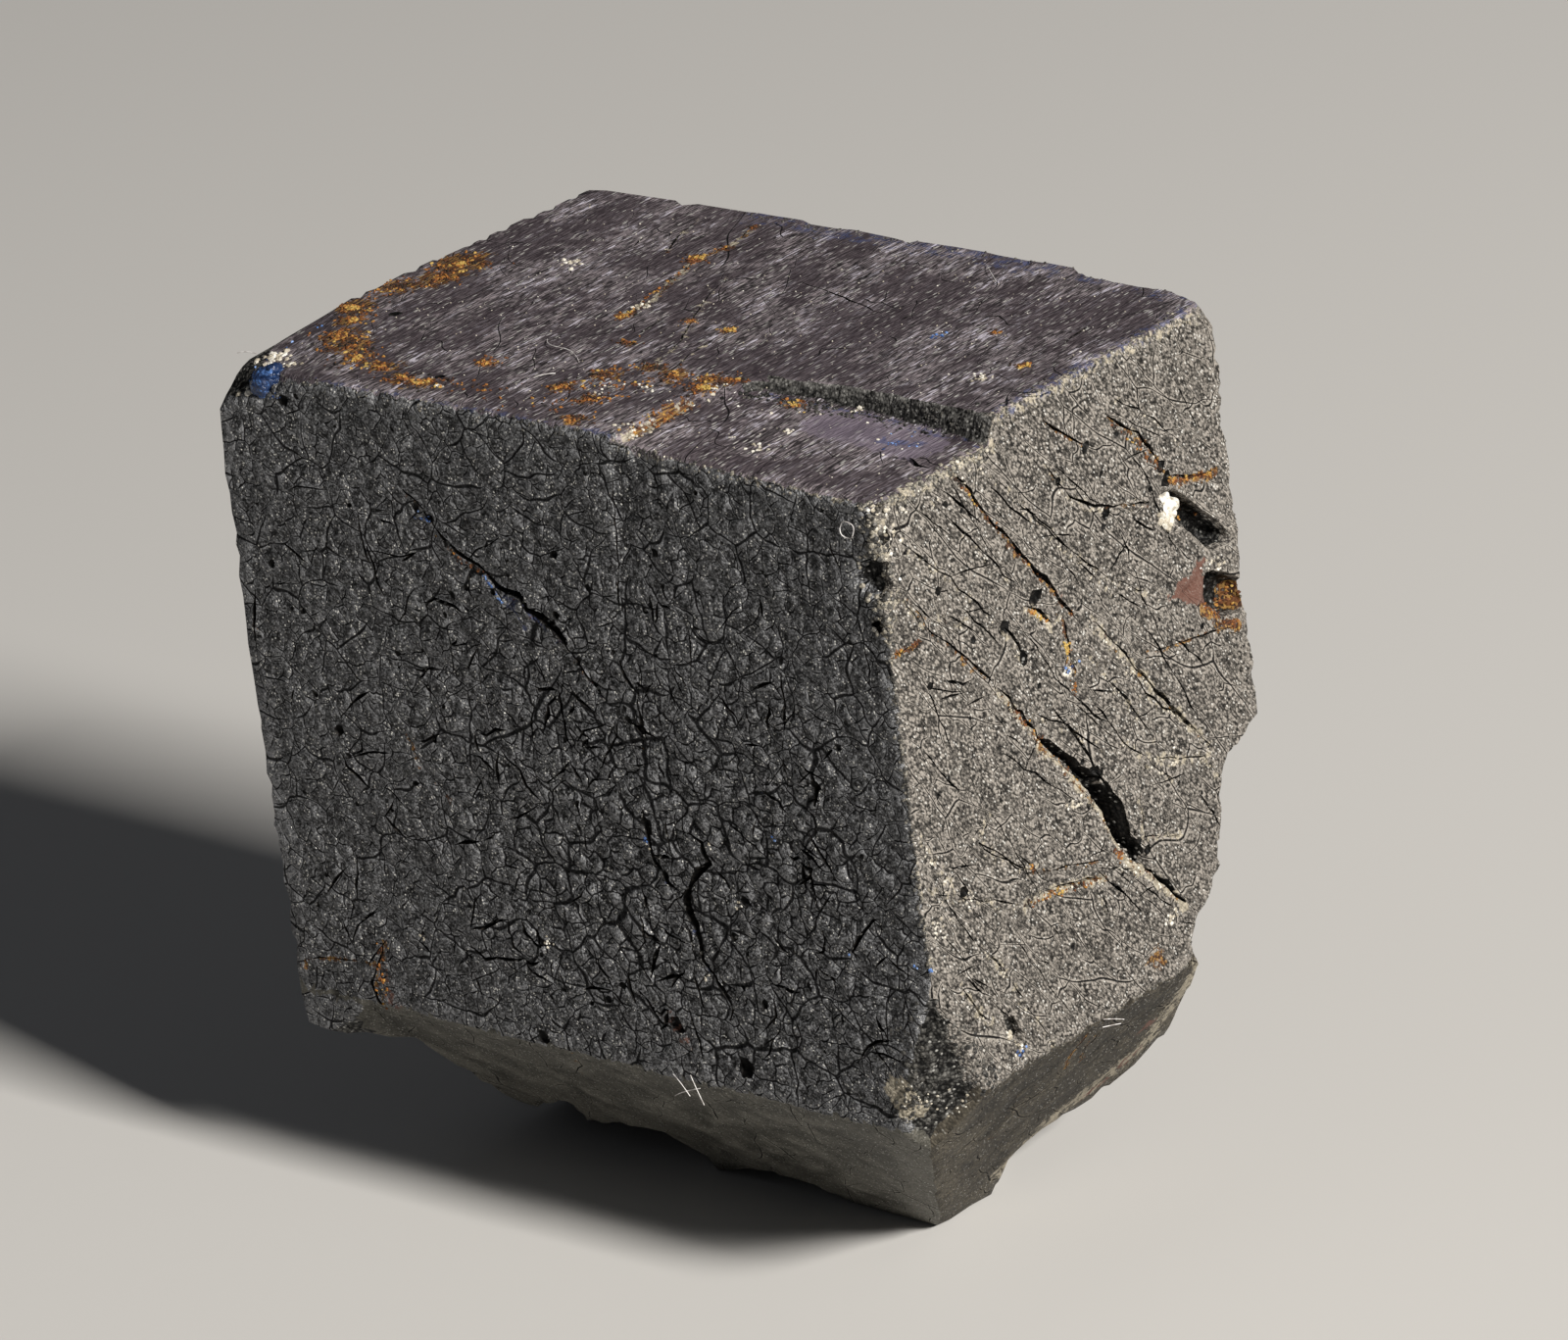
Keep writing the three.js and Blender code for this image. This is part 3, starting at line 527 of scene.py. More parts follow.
for face, width, route, widest, *_ in cracks:
    curve = bpy.data.curves.new("crack tool", "CURVE")
    curve.dimensions = "3D"
    curve.twist_mode = "Z_UP"
    curve.bevel_depth = 1
    curve.bevel_resolution = 0
    curve.use_fill_caps = True
    curve.materials.append(shaded_crack_wall)
    steps = natural_route(route, width, widest)
    spline = curve.splines.new("POLY")
    spline.points.add(len(steps) - 1)
    for point, (place, half) in zip(spline.points, steps):
        point.co = (*place, 0.3 * half, 1)
        point.radius = half
    tool = bpy.data.objects.new("crack tool", curve)
    tool.matrix_world = face_matrix(face) @ Matrix.Diagonal((1, 1, DEEPENED, 1))
    tools.objects.link(tool)

pick(*tools.objects)
bpy.ops.object.convert(target="MESH")
bpy.ops.object.transform_apply(location=True, rotation=True, scale=True)
bpy.ops.object.mode_set(mode="EDIT")
bpy.ops.mesh.select_all(action="SELECT")
bpy.ops.mesh.remove_doubles(threshold=1e-4)
bpy.ops.mesh.normals_make_consistent(inside=False)
bpy.ops.object.mode_set(mode="OBJECT")

stone_skin = bpy.data.materials.new("front skin")
crystal.data.materials.append(stone_skin)
finish_with(crystal, "BOOLEAN", operation="DIFFERENCE", operand_type="COLLECTION", collection=tools,
            solver="MANIFOLD", material_mode="TRANSFER")
for tool in list(tools.objects):
    bpy.data.objects.remove(tool)
bpy.data.collections.remove(tools)

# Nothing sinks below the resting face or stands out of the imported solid's own box.
points = np.clip(points_of(crystal), at(WIDTH, 0, HEIGHT), at(0, DEPTH, 0)).astype(np.float32)
crystal.data.vertices.foreach_set("co", points.ravel())
crystal.data.update()

# How far each point lies below its surroundings, which the finish uses for painted shade that darkens the
# hollows.
SMOOTHINGS = 6
FULL_SHADE_DEPTH = 0.025
first, second = read_out(crystal.data.edges, "vertices", 2, np.int32).T
neighbours = np.bincount(first, minlength=len(points)) + np.bincount(second, minlength=len(points))
smoothed = points.astype(np.float64)
for _ in range(SMOOTHINGS):
    total = np.zeros_like(smoothed)
    for axis in range(3):
        total[:, axis] += np.bincount(first, smoothed[second, axis], len(points))
        total[:, axis] += np.bincount(second, smoothed[first, axis], len(points))
    smoothed = 0.5 * smoothed + 0.5 * total / neighbours[:, None]
outward = read_out(crystal.data.vertex_normals, "vector")
sunken = np.sum((smoothed - points) * outward, axis=1)
hollow = np.clip(sunken / FULL_SHADE_DEPTH, -1, 1)


# Stains: rust, pale grains, blue tarnish with a painted blue sheen, red earth, and a lavender sheen that is a
# painted highlight, all painted by distance from the cracks and from spots.
def route_distance(points, route):
    best = np.full(len(points), 1e9)
    for a, b in zip(route, route[1:]):
        a, b = np.array(a), np.array(b)
        span = b - a
        share = np.clip(((points - a) @ span) / max(span @ span, 1e-9), 0, 1)
        best = np.minimum(best, np.linalg.norm(points - a - share[:, None] * span, axis=1))
    return best


stains = {name: np.zeros(len(points)) for name in ("rust", "pale", "blue_tarnish_and_sheen", "red", "sheen_highlight")}


def stain(name, amounts):
    stains[name] = np.maximum(stains[name], amounts)


def stain_line(name, route, strength, reach):
    distance = route_distance(points, [tuple(corner) for corner in route])
    stain(name, strength * (1 - smooth_step(distance, 0.3 * reach, reach)))


def stain_spot(name, place, strength, near, far):
    distance = np.linalg.norm(points - np.array(place), axis=1)
    stain(name, strength * (1 - smooth_step(distance, near, far)))


def lower_lip(face, width, route):
    """The side of a crack that turns its lip to the light, along which its minerals show."""
    way = Vector(route[-1]) - Vector(route[0])
    aside = Vector((-way.y, way.x)).normalized() * width / 2
    if aside.y < 0:
        aside.negate()
    return [on_face(face, *(Vector(corner) + aside)) for corner in route]


LIP_REACH = {"rust": 0.08, "pale": 0.18, "blue_tarnish_and_sheen": 0.12}
for face, width, route, _, rust, pale, blue_tarnish_and_sheen in cracks:
    for name, strength in (("rust", rust), ("pale", pale), ("blue_tarnish_and_sheen", blue_tarnish_and_sheen)):
        if strength:
            stain_line(name, lower_lip(face, width, route), 0.75 * strength, LIP_REACH[name])

# Rust on the top face, by left, back and radius: an orange corner, a lacy yellow band and a patch.
RUST_SPOTS = [
    (16.05, 6.45, 0.75, 1.0), (15.9, 5.6, 0.6, 0.8), (16.37, 4.91, 0.6, 0.7), (16.43, 3.61, 0.5, 0.9),
    (15.9, 3.0, 0.45, 0.7), (15.45, 2.18, 0.6, 0.8), (14.87, 1.82, 0.6, 0.75), (14.2, 1.3, 0.5, 0.6),
    (13.4, 1.15, 0.5, 0.6), (12.6, 0.8, 0.45, 0.6), (12.0, 0.74, 0.45, 0.55), (11.52, 2.2, 0.35, 0.6),
    (9.14, 1.65, 0.4, 0.7), (8.73, 2.56, 0.45, 0.7), (9.58, 4.08, 0.3, 0.5), (8.13, 3.26, 0.35, 0.7),
    (7.44, 3.02, 0.4, 0.8), (6.59, 3.13, 0.35, 0.8), (6.14, 3.25, 0.35, 0.6), (7.62, 0.39, 0.35, 0.8),
    (8.1, 1.38, 0.4, 0.6), (11.53, 8.49, 0.3, 0.9), (11.36, 9.17, 0.2, 0.6), (11.67, 10.42, 0.15, 0.8),
    (10.7, 5.36, 0.25, 0.8), (8.09, 5.43, 0.2, 0.9), (9.15, 5.55, 0.2, 0.7), (4.52, 3.2, 0.35, 0.8),
    (6.4, 2.7, 0.35, 0.7), (1.22, 6.06, 0.18, 0.8), (2.89, 7.3, 0.16, 0.7),
]
for left, back, radius, strength in RUST_SPOTS:
    stain_spot("rust", at(left, back, 0), 1.15 * strength, 0.3 * radius, 1.25 * radius)

# Rust and red earth in the hollows near the right face's back edge, and along the foot.
stain_spot("rust", at(0.4, 9.0, 4.1), 0.7, 0.1, 0.25)
stain_spot("rust", at(0.5, 10.6, 6.3), 1.2, 0.24, 0.6)
stain_spot("rust", at(0.2, 6.6, 12.4), 0.6, 0.2, 0.5)
RED_FACET = [(8.2, 5.35), (9.35, 5.02), (9.28, 5.9)]
left, back, down = from_corner(points)
inside = np.abs(left) < 0.3
for (back_a, down_a), (back_b, down_b) in zip(RED_FACET, RED_FACET[1:] + RED_FACET[:1]):
    inside &= (back_b - back_a) * (down - down_a) - (down_b - down_a) * (back - back_a) > -0.03
stain("red", 1.0 * inside)
FACE_STAINS = [
    ("rust", "right", [(9.2, 5.95), (9.6, 6.4), (10.2, 6.7)], 0.8, 0.2),
    ("rust", "right", [(8.6, 3.1), (9.3, 3.3), (10.0, 3.45)], 0.8, 0.14),
    ("red", "right", [(4.9, 4.0), (5.0, 4.2)], 0.6, 0.15),
    ("red", "right bevel", [(7.9, 2.0), (7.6, 2.3)], 0.9, 0.22),
    ("red", "right bevel", [(8.3, 3.2), (8.0, 3.5)], 0.9, 0.22),
    ("red", "right bevel", [(7.6, 3.9), (7.3, 4.2)], 0.9, 0.22),
    ("pale", "right bevel", [(8.35, 0.2), (8.5, 1.2), (8.35, 2.1), (8.2, 3.3), (7.0, 4.0), (6.1, 4.6),
                             (5.6, 5.6)], 0.62, 0.65),
]
for name, face, route, strength, reach in FACE_STAINS:
    stain_line(name, [on_face(face, *corner) for corner in route], strength, reach)

# Pale grains gather along the edges that catch the light, and the pale there is partly a painted highlight on
# those edges; along the top's rim lies blue tarnish with a painted blue sheen, and on the terrace a lavender
# sheen that is a painted highlight. The corners of these routes are measured left, back and down.
EDGE_STAINS = [
    ("red", [(6.9, 0, 12.2), (6.5, 0, 12.8)], 0.45, 0.3),
    ("red", [(14.7, 0, 13.0), (14.4, 0, 13.7)], 0.5, 0.35),
    ("pale", [(0, 0.1, 0.4), (0, 0.1, 3.0)], 0.5, 0.35),
    ("pale", [(0, 0, 3.0), (0, 0, 9.9)], 0.4, 0.15),
    ("pale", [(0, 0, 0.6), (0, 3.6, 0.55)], 0.5, 0.28),
    ("pale", [(0, 3.6, 0.1), (0.1, 9.8, 0.1)], 0.4, 0.25),
    ("pale", [(6.3, 0, 0.3), (0, 0, 0.5)], 0.4, 0.15),
    ("pale", [(1.2, 0, 12.6), (1.0, 0, 13.0), (0.4, 0.2, 13.3), (0, 0.8, 13.0)], 1.0, 0.45),
    ("pale", [(6.3, 0.3, 0.2), (6.35, 2.2, 0.2)], 0.6, 0.25),
    ("rust", [(6.35, 0.6, 0.2), (6.35, 2.4, 0.2)], 0.7, 0.3),
    ("blue_tarnish_and_sheen", [(16.9, 0.1, 0), (6.4, 0.1, 0)], 0.5, 0.16),
    ("blue_tarnish_and_sheen", [(5.45, 3.3, 0.25), (2.8, 3.5, 0.4), (0.1, 3.3, 0.5)], 0.5, 0.2),
    ("blue_tarnish_and_sheen", [(0.1, 4.0, 0), (0.2, 10.3, 0)], 0.45, 0.35),
    ("blue_tarnish_and_sheen", [(0.5, 10.6, 0), (12, 11.0, 0)], 0.45, 0.9),
    ("blue_tarnish_and_sheen", [(1.9, 2.6, 0.4), (1.2, 2.85, 0.45)], 0.7, 0.25),
    ("sheen_highlight", [(3.2, 2.9, 0.35), (1.3, 2.8, 0.45)], 0.9, 1.1),
]
for name, route, strength, reach in EDGE_STAINS:
    stain_line(name, [at(*corner) for corner in route], strength, reach)
for name, amounts in {**stains, "hollow": hollow}.items():
    layer = crystal.data.attributes.new(name, "FLOAT", "POINT")
    layer.data.foreach_set("value", amounts.astype(np.float32))


# The finishes of the stone. Three effects are built once: its grain, its crazing and the ragged
# patches that stains make.
def put(tree, kind, feeds=None, **settings):
    """Adds a node, sets its settings, and sets or links its sockets."""
    new = tree.nodes.new("ShaderNode" + kind)
    for setting, value in settings.items():
        setattr(new, setting, value)
    for socket, value in (feeds or {}).items():
        if isinstance(value, bpy.types.NodeSocket):
            tree.links.new(value, new.inputs[socket])
        else:
            new.inputs[socket].default_value = value
    return new


def blended(tree, amount, under, over):
    feeds = {0: amount, 6: under, 7: over}
    return put(tree, "Mix", feeds, data_type="RGBA", blend_type="MIX").outputs[2]


def worked(tree, operation, a, b=0.0, clamp=False):
    return put(tree, "Math", {0: a, 1: b}, operation=operation, use_clamp=clamp).outputs[0]


def multiplied(tree, a, b):
    return worked(tree, "MULTIPLY", a, b)


def summed(tree, start, *parts):
    """The start value plus each part times its weight."""
    total = start
    for part, weight in parts:
        total = put(tree, "Math", {0: part, 1: weight, 2: total}, operation="MULTIPLY_ADD").outputs[0]
    return total


def ranged(tree, value, low, high, to_low=0.0, to_high=1.0):
    feeds = {0: value, 1: low, 2: high, 3: to_low, 4: to_high}
    return put(tree, "MapRange", feeds, interpolation_type="SMOOTHSTEP").outputs[0]


def noise(tree, place, scale, detail=2.0, roughness=0.5):
    feeds = {"Vector": place, "Scale": scale, "Detail": detail, "Roughness": roughness}
    return put(tree, "TexNoise", feeds).outputs[0]


def start_finish(name):
    """A finish of this name, its nodes and shader, and the piece's own places in millimetres."""
    material = bpy.data.materials.get(name) or bpy.data.materials.new(name)
    material.use_nodes = True
    tree = material.node_tree
    place = put(tree, "TexCoord").outputs["Object"]
    feeds = {"Vector": place, "Scale": (MM, MM, MM)}
    in_mm = put(tree, "Mapping", feeds, vector_type="TEXTURE").outputs[0]
    return material, tree, tree.nodes["Principled BSDF"], in_mm


def start_group(name, inputs, outputs):
    group = bpy.data.node_groups.new(name, "ShaderNodeTree")
    for label in inputs:
        kind = "NodeSocketVector" if label == "Place" else "NodeSocketFloat"
        group.interface.new_socket(label, in_out="INPUT", socket_type=kind)
    for label in outputs:
        group.interface.new_socket(label, in_out="OUTPUT", socket_type="NodeSocketFloat")
    start = group.nodes.new("NodeGroupInput")
    end = group.nodes.new("NodeGroupOutput")
    return group, start.outputs, end.inputs


def place_group(tree, group, feeds):
    return put(tree, "Group", feeds, node_tree=group).outputs


# Grain: packed angular grains with dark gaps, the gaps partly painted shade that follows the grains' bumps.
# The tone lies around zero, each grain has a chance number of its own, and a few grains glint: the finish
# paints these glints as highlights and makes them glossier.
grain, given, out = start_group("mineral grain", ["Place", "Size"], ["Bumps", "Tone", "Glint", "Chance"])
per_size = worked(grain, "DIVIDE", 1.0, given["Size"])
cells = put(grain, "TexVoronoi", {"Vector": given["Place"], "Scale": per_size}).outputs
fine = noise(grain, given["Place"], per_size, 1.0)
chance = put(grain, "SeparateColor", {0: cells["Color"]}).outputs
grain.links.new(summed(grain, -0.41, (chance[0], 0.75), (cells["Distance"], -0.7), (fine, 0.7)), out["Tone"])
grain.links.new(summed(grain, 0.3, (cells["Distance"], -0.9), (fine, 1.4)), out["Bumps"])
lucky = ranged(grain, chance[1], 0.88, 0.94)
grain.links.new(multiplied(grain, lucky, ranged(grain, cells["Distance"], 0.55, 0.25)), out["Glint"])
grain.links.new(chance[2], out["Chance"])

# Crazing: a net of hairline cracks, open in some places only, drawn on the face's own plane. A light rim, a
# painted highlight, runs beside each line.
crazing, given, out = start_group("crazing", ["Place", "Cell", "Gap"], ["Line", "Rim Highlight", "Plates"])
per_cell = worked(crazing, "DIVIDE", 1.0, given["Cell"])
swirling = {"Vector": given["Place"], "Scale": multiplied(crazing, per_cell, 0.9), "Detail": 1.5}
swirl = put(crazing, "TexNoise", swirling, noise_dimensions="2D").outputs["Color"]
centred = put(crazing, "VectorMath", {0: swirl, 1: (0.5, 0.5, 0.5)}, operation="SUBTRACT").outputs[0]
stray = multiplied(crazing, given["Cell"], 0.6)
pushed = put(crazing, "VectorMath", {0: centred, "Scale": stray}, operation="SCALE").outputs[0]
strayed = put(crazing, "VectorMath", {0: given["Place"], 1: pushed}, operation="ADD").outputs[0]
edge = put(crazing, "TexVoronoi", {"Vector": strayed, "Scale": per_cell}, feature="DISTANCE_TO_EDGE",
           voronoi_dimensions="2D").outputs[0]
gap_share = worked(crazing, "DIVIDE", given["Gap"], given["Cell"])
opening = put(crazing, "SeparateColor", {0: swirl}).outputs[1]
gap_here = multiplied(crazing, gap_share, ranged(crazing, opening, 0.38, 0.6, 0.3, 1.15))
line = ranged(crazing, edge, gap_here, multiplied(crazing, gap_here, 0.35))
crazing.links.new(line, out["Line"])
beside = ranged(crazing, edge, multiplied(crazing, gap_here, 3.5), gap_here)
crazing.links.new(worked(crazing, "SUBTRACT", beside, line, True), out["Rim Highlight"])
crazing.links.new(ranged(crazing, edge, 0.0, 0.35), out["Plates"])

# Patches: where an amount wins over noise, so that a stain has a ragged, crusty edge.
patches, given, out = start_group("ragged patches", ["Amount", "Spots", "Raggedness"], ["Mask"])
lift = multiplied(patches, worked(patches, "SUBTRACT", given["Spots"], 0.5), given["Raggedness"])
shown = ranged(patches, worked(patches, "ADD", given["Amount"], lift), 0.4, 0.62)
patches.links.new(multiplied(patches, shown, ranged(patches, given["Amount"], 0.02, 0.15)), out["Mask"])

RUST_DARK = (0.025, 0.011, 0.006, 1)
RUST_ORANGE = (0.1, 0.038, 0.012, 1)
RUST_YELLOW = (0.26, 0.15, 0.045, 1)
CREAM = (0.42, 0.375, 0.29, 1)
CREAM_SHADE = (0.1, 0.088, 0.068, 1)
TARNISH_AND_SHEEN = (0.05, 0.065, 0.15, 1)
RED_EARTH = (0.125, 0.06, 0.045, 1)
SHEEN_HIGHLIGHT = (0.18, 0.15, 0.195, 1)
GLINT_HIGHLIGHT = (0.75, 0.74, 0.7, 1)
STREAK_HIGHLIGHT = (0.5, 0.47, 0.54, 1)
GAP_SHADE = (0.002, 0.002, 0.0025, 1)
STONE_SPECULAR = 0.16
RAGGEDNESS = {"blue_tarnish_and_sheen": 1.6, "pale": -2.4, "rust": 2.6, "red": 1.5, "sheen_highlight": 1.0}


def finish_stone(name, dark, light, grain_size, cell, gap, level, contrast=1.0, bumps=1.0, glint_highlight=0.5,
                 turn=(0, 0, 0), stretch=(1, 1, 1), streak_highlights=0.0, roughness=0.62, relief=1.0, shading=0.16,
                 rim_highlights=0.15, patchy=0.28, side_on=(0, 0, 0), net_turn=0, net_stretch=1, rugged_at=None,
                 smooth=None):
    """The stone's finish, from dark to light: grain and crazing in millimetres, with its stains. It can
    be more rugged around one point, and can have smooth fields in a colour of their own."""
    material, tree, shader, in_mm = start_finish(name)
    drawn_out = {"Vector": in_mm, "Rotation": turn, "Scale": stretch}
    along = put(tree, "Mapping", drawn_out, vector_type="TEXTURE").outputs[0]
    grains = place_group(tree, grain, {"Place": along, "Size": grain_size})
    flat = put(tree, "Mapping", {"Vector": in_mm, "Rotation": side_on}, vector_type="POINT").outputs[0]
    lying = {"Vector": flat, "Rotation": (0, 0, net_turn), "Scale": (net_stretch, 1, 1)}
    laid = put(tree, "Mapping", lying, vector_type="TEXTURE").outputs[0]
    wide_gap = 1.5 * gap
    level -= 0.06 + patchy / 2
    if rugged_at:
        away = put(tree, "VectorMath", {0: in_mm, 1: rugged_at}, operation="DISTANCE").outputs["Value"]
        rugged = ranged(tree, away, 7.0, 1.5)
        contrast = summed(tree, contrast, (rugged, 0.45 * contrast))
        level = summed(tree, level, (rugged, 0.045))
        gap = summed(tree, 0.8 * gap, (rugged, 0.5 * gap))
        wide_gap = summed(tree, 0.9 * wide_gap, (rugged, 0.8 * wide_gap))
    net = place_group(tree, crazing, {"Place": laid, "Cell": cell, "Gap": gap})
    wide_net = place_group(tree, crazing, {"Place": laid, "Cell": 2.7 * cell, "Gap": wide_gap})
    lines = worked(tree, "MAXIMUM", net["Line"], wide_net["Line"])
    # The rims beside the crack lines lighten the tone: a painted highlight.
    rim_highlight = worked(tree, "MAXIMUM", net["Rim Highlight"], wide_net["Rim Highlight"])
    clouds = noise(tree, along, 1.6, 2.0, 0.6)
    spots = noise(tree, in_mm, 5.5, 3.0, 0.7)
    amounts = {}
    for layer_name in (*stains, "hollow"):
        amounts[layer_name] = put(tree, "Attribute", attribute_name=layer_name).outputs["Fac"]
    # The hollow attribute darkens the tone here: painted shade in the hollows.
    tone = summed(tree, level, (grains["Tone"], contrast), (clouds, patchy), (spots, 0.12), (rim_highlight, rim_highlights),
                  (amounts["hollow"], -shading))
    tone = worked(tree, "MAXIMUM", tone, 0.0)
    colour = blended(tree, worked(tree, "POWER", tone, 2.2), (*dark, 1), (*light, 1))
    height = multiplied(tree, grains["Bumps"], 0.014 * bumps)
    if smooth:
        even = ranged(tree, noise(tree, in_mm, 0.5, 5.0, 0.65), 0.535, 0.475)
        colour = blended(tree, multiplied(tree, even, 0.7), colour, (*smooth, 1))
        streak_highlights = summed(tree, streak_highlights, (even, -0.8 * streak_highlights))
    # The light streaks along the top's striations are painted highlights; the streak noise also raises real
    # bumps.
    if streak_highlights:
        streak = noise(tree, along, 15.0, 2.0, 0.6)
        lit = multiplied(tree, ranged(tree, streak, 0.56, 0.63), ranged(tree, clouds, 0.43, 0.56))
        colour = blended(tree, multiplied(tree, lit, streak_highlights), colour, STREAK_HIGHLIGHT)
        height = summed(tree, height, (streak, 0.03))
    # Glinting grains are lightened: a painted highlight.
    colour = blended(tree, multiplied(tree, grains["Glint"], glint_highlight), colour, GLINT_HIGHLIGHT)
    # Crack lines are painted near black: painted shade in the hairline gaps.
    colour = blended(tree, multiplied(tree, lines, 0.94), colour, GAP_SHADE)
    masks = {}
    for stain_name, raggedness in RAGGEDNESS.items():
        feeds = {"Amount": amounts[stain_name], "Spots": spots, "Raggedness": raggedness}
        masks[stain_name] = place_group(tree, patches, feeds)["Mask"]
    rusty = blended(tree, ranged(tree, grains["Chance"], 0.15, 0.55), RUST_DARK, RUST_ORANGE)
    rusty = blended(tree, ranged(tree, grains["Chance"], 0.6, 0.85), rusty, RUST_YELLOW)
    creamy = blended(tree, summed(tree, 0.2, (tone, 0.8)), CREAM_SHADE, CREAM)
    # Tints over the tone: the lavender sheen is a painted highlight and the blue is tarnish with a painted
    # sheen; red earth, pale grains and rust are stains.
    for stain_name, strength, tint in (("sheen_highlight", 0.6, SHEEN_HIGHLIGHT), ("blue_tarnish_and_sheen", 0.6, TARNISH_AND_SHEEN),
                                       ("red", 0.85, RED_EARTH), ("pale", 0.85, creamy),
                                       ("rust", 0.9, rusty)):
        colour = blended(tree, multiplied(tree, masks[stain_name], strength), colour, tint)
    tree.links.new(colour, shader.inputs["Base Color"])
    bare = worked(tree, "SUBTRACT", 1.0, masks["rust"])
    metal = multiplied(tree, multiplied(tree, grains["Glint"], 0.35), bare)
    tree.links.new(metal, shader.inputs["Metallic"])
    rough = summed(tree, roughness - 0.1, (grains["Glint"], -0.3), (clouds, 0.2), (masks["rust"], 0.25),
                   (lines, 0.4))
    tree.links.new(worked(tree, "MINIMUM", rough, 1.0), shader.inputs["Roughness"])
    height = summed(tree, height, (lines, -0.03 * relief), (net["Plates"], 0.02 * relief),
                    (wide_net["Plates"], 0.025 * relief))
    bump = put(tree, "Bump", {"Height": height, "Distance": MM, "Strength": 1.0}).outputs[0]
    tree.links.new(bump, shader.inputs["Normal"])
    shader.inputs["Specular IOR Level"].default_value = STONE_SPECULAR
    return material


FROM_FRONT = (math.radians(-90), 0, 0)
FROM_RIGHT = tuple(Matrix(((0, 1, 0), (0, 0, 1), (1, 0, 0))).to_euler())
hidden_look = {"dark": (0.005, 0.005, 0.005), "light": (0.26, 0.25, 0.236), "grain_size": 0.05, "cell": 0.42,
               "gap": 0.022, "level": 0.62, "contrast": 0.6, "shading": 0.08}
# The front face and the two bevels get darker colours than the right face and the top: partly their own
# duller skin, partly painted shade for the little light they get.
finishes = {
    "front": finish_stone("front skin", (0.003, 0.003, 0.0032), (0.21, 0.213, 0.222), 0.045, 0.36, 0.022,
                          level=0.65, contrast=0.85, bumps=1.5, glint_highlight=1.0, shading=0.24, relief=2.2,
                          rim_highlights=0.25, side_on=FROM_FRONT, rugged_at=at(6.5, 0, 8.4)),
    "right": finish_stone("right skin", (0.006, 0.0055, 0.005), (0.27, 0.247, 0.22), 0.04, 0.5, 0.009,
                          level=0.635, contrast=1.0, bumps=0.9, glint_highlight=0.8, turn=(RIGHT_TURN, 0, 0),
                          stretch=(1, 1.8, 1), shading=0.12, side_on=FROM_RIGHT, net_turn=RIGHT_TURN,
                          net_stretch=3, rim_highlights=0.45),
    "top": finish_stone("top skin", (0.012, 0.01, 0.011), (0.24, 0.207, 0.222), 0.035, 1.0, 0.01, level=0.7,
                        contrast=0.95, bumps=0.8, glint_highlight=0.8, turn=(0, 0, TOP_TURN), stretch=(6, 1, 1),
                        streak_highlights=0.9, patchy=0.3, roughness=0.5, net_turn=TOP_TURN, net_stretch=2.2,
                        relief=0.6, smooth=(0.042, 0.032, 0.038)),
    "front bevel": finish_stone("front bevel skin", (0.008, 0.008, 0.006), (0.18, 0.172, 0.148), 0.04, 0.7,
                                0.01, level=0.66, contrast=0.3, bumps=0.4, glint_highlight=0.4, relief=0.4,
                                side_on=FROM_FRONT),
    "right bevel": finish_stone("right bevel skin", (0.006, 0.005, 0.004), (0.18, 0.158, 0.12), 0.04, 0.5,
                                0.01, level=0.44, contrast=0.4, bumps=0.5, glint_highlight=0.3,
                                turn=(RIGHT_TURN, 0, 0), stretch=(1, 2.5, 1), relief=0.4,
                                side_on=FROM_RIGHT, net_stretch=2),
    "ledge": finish_stone("ledge rock", (0.004, 0.004, 0.004), (0.2, 0.195, 0.185), 0.06, 0.3, 0.0,
                          level=0.56, contrast=0.6, bumps=1.2, glint_highlight=0.4, side_on=FROM_FRONT),
    "broken": finish_stone("broken rock", (0.002, 0.002, 0.002), (0.15, 0.146, 0.135), 0.07, 0.3, 0.0,
                           level=0.42, contrast=1.0, bumps=2.0, glint_highlight=0.5, roughness=0.5, side_on=FROM_RIGHT),
    "back": finish_stone("back skin", side_on=FROM_FRONT, **hidden_look),
    "left": finish_stone("left skin", side_on=FROM_RIGHT, **hidden_look),
}
# The crack walls take the broken stone's dark colour, taken down to near black as painted shade deep in the
# cracks.
finish_stone("shaded crack wall", (0.001, 0.001, 0.001), (0.03, 0.026, 0.022), 0.08, 0.3, 0.0, level=0.3)

# Each part of the skin takes the finish of the face that it lies on. What lies deeper, the ledge
# above the terrace and the chipped corner are broken rock.
SKIN_DEPTH = 0.22
for face, finish in finishes.items():
    if face != "front":
        crystal.data.materials.append(finish)
slots = read_out(crystal.data.polygons, "material_index", 1, np.int32)[:, 0]
centres = read_out(crystal.data.polygons, "center")
normals = read_out(crystal.data.polygons, "normal")
names = [material.name for material in crystal.data.materials]
depths = face_depths(centres)
order = list(depths)
stacked = np.abs(np.array([depths[face] for face in order]))
closest = np.argmin(stacked, axis=0)
shallow = np.min(stacked, axis=0) < SKIN_DEPTH
wall_slot = names.index(shaded_crack_wall.name)
rock_slot = names.index("broken rock")
hidden = (normals[:, 0] < -0.35) | (normals[:, 1] > 0.35)
flank = np.where(normals[:, 0] < -0.6, names.index("left skin"), names.index("back skin"))
new_slots = np.where(hidden & (centres[:, 2] > 2), flank, rock_slot)
for index, face in enumerate(order):
    new_slots = np.where(shallow & (closest == index), names.index(finishes[face].name), new_slots)
left, back, down = from_corner(centres)
ledge = (left < 6.4) & (back > 2.9) & (back < 4.4) & (down < 0.8) & (normals[:, 1] < -0.4)
chips = chipped_corner(centres) > 0.4
new_slots = np.where(ledge, names.index("ledge rock"), new_slots)
new_slots = np.where(chips, rock_slot, new_slots)
slots = np.where(slots == wall_slot, wall_slot, new_slots)
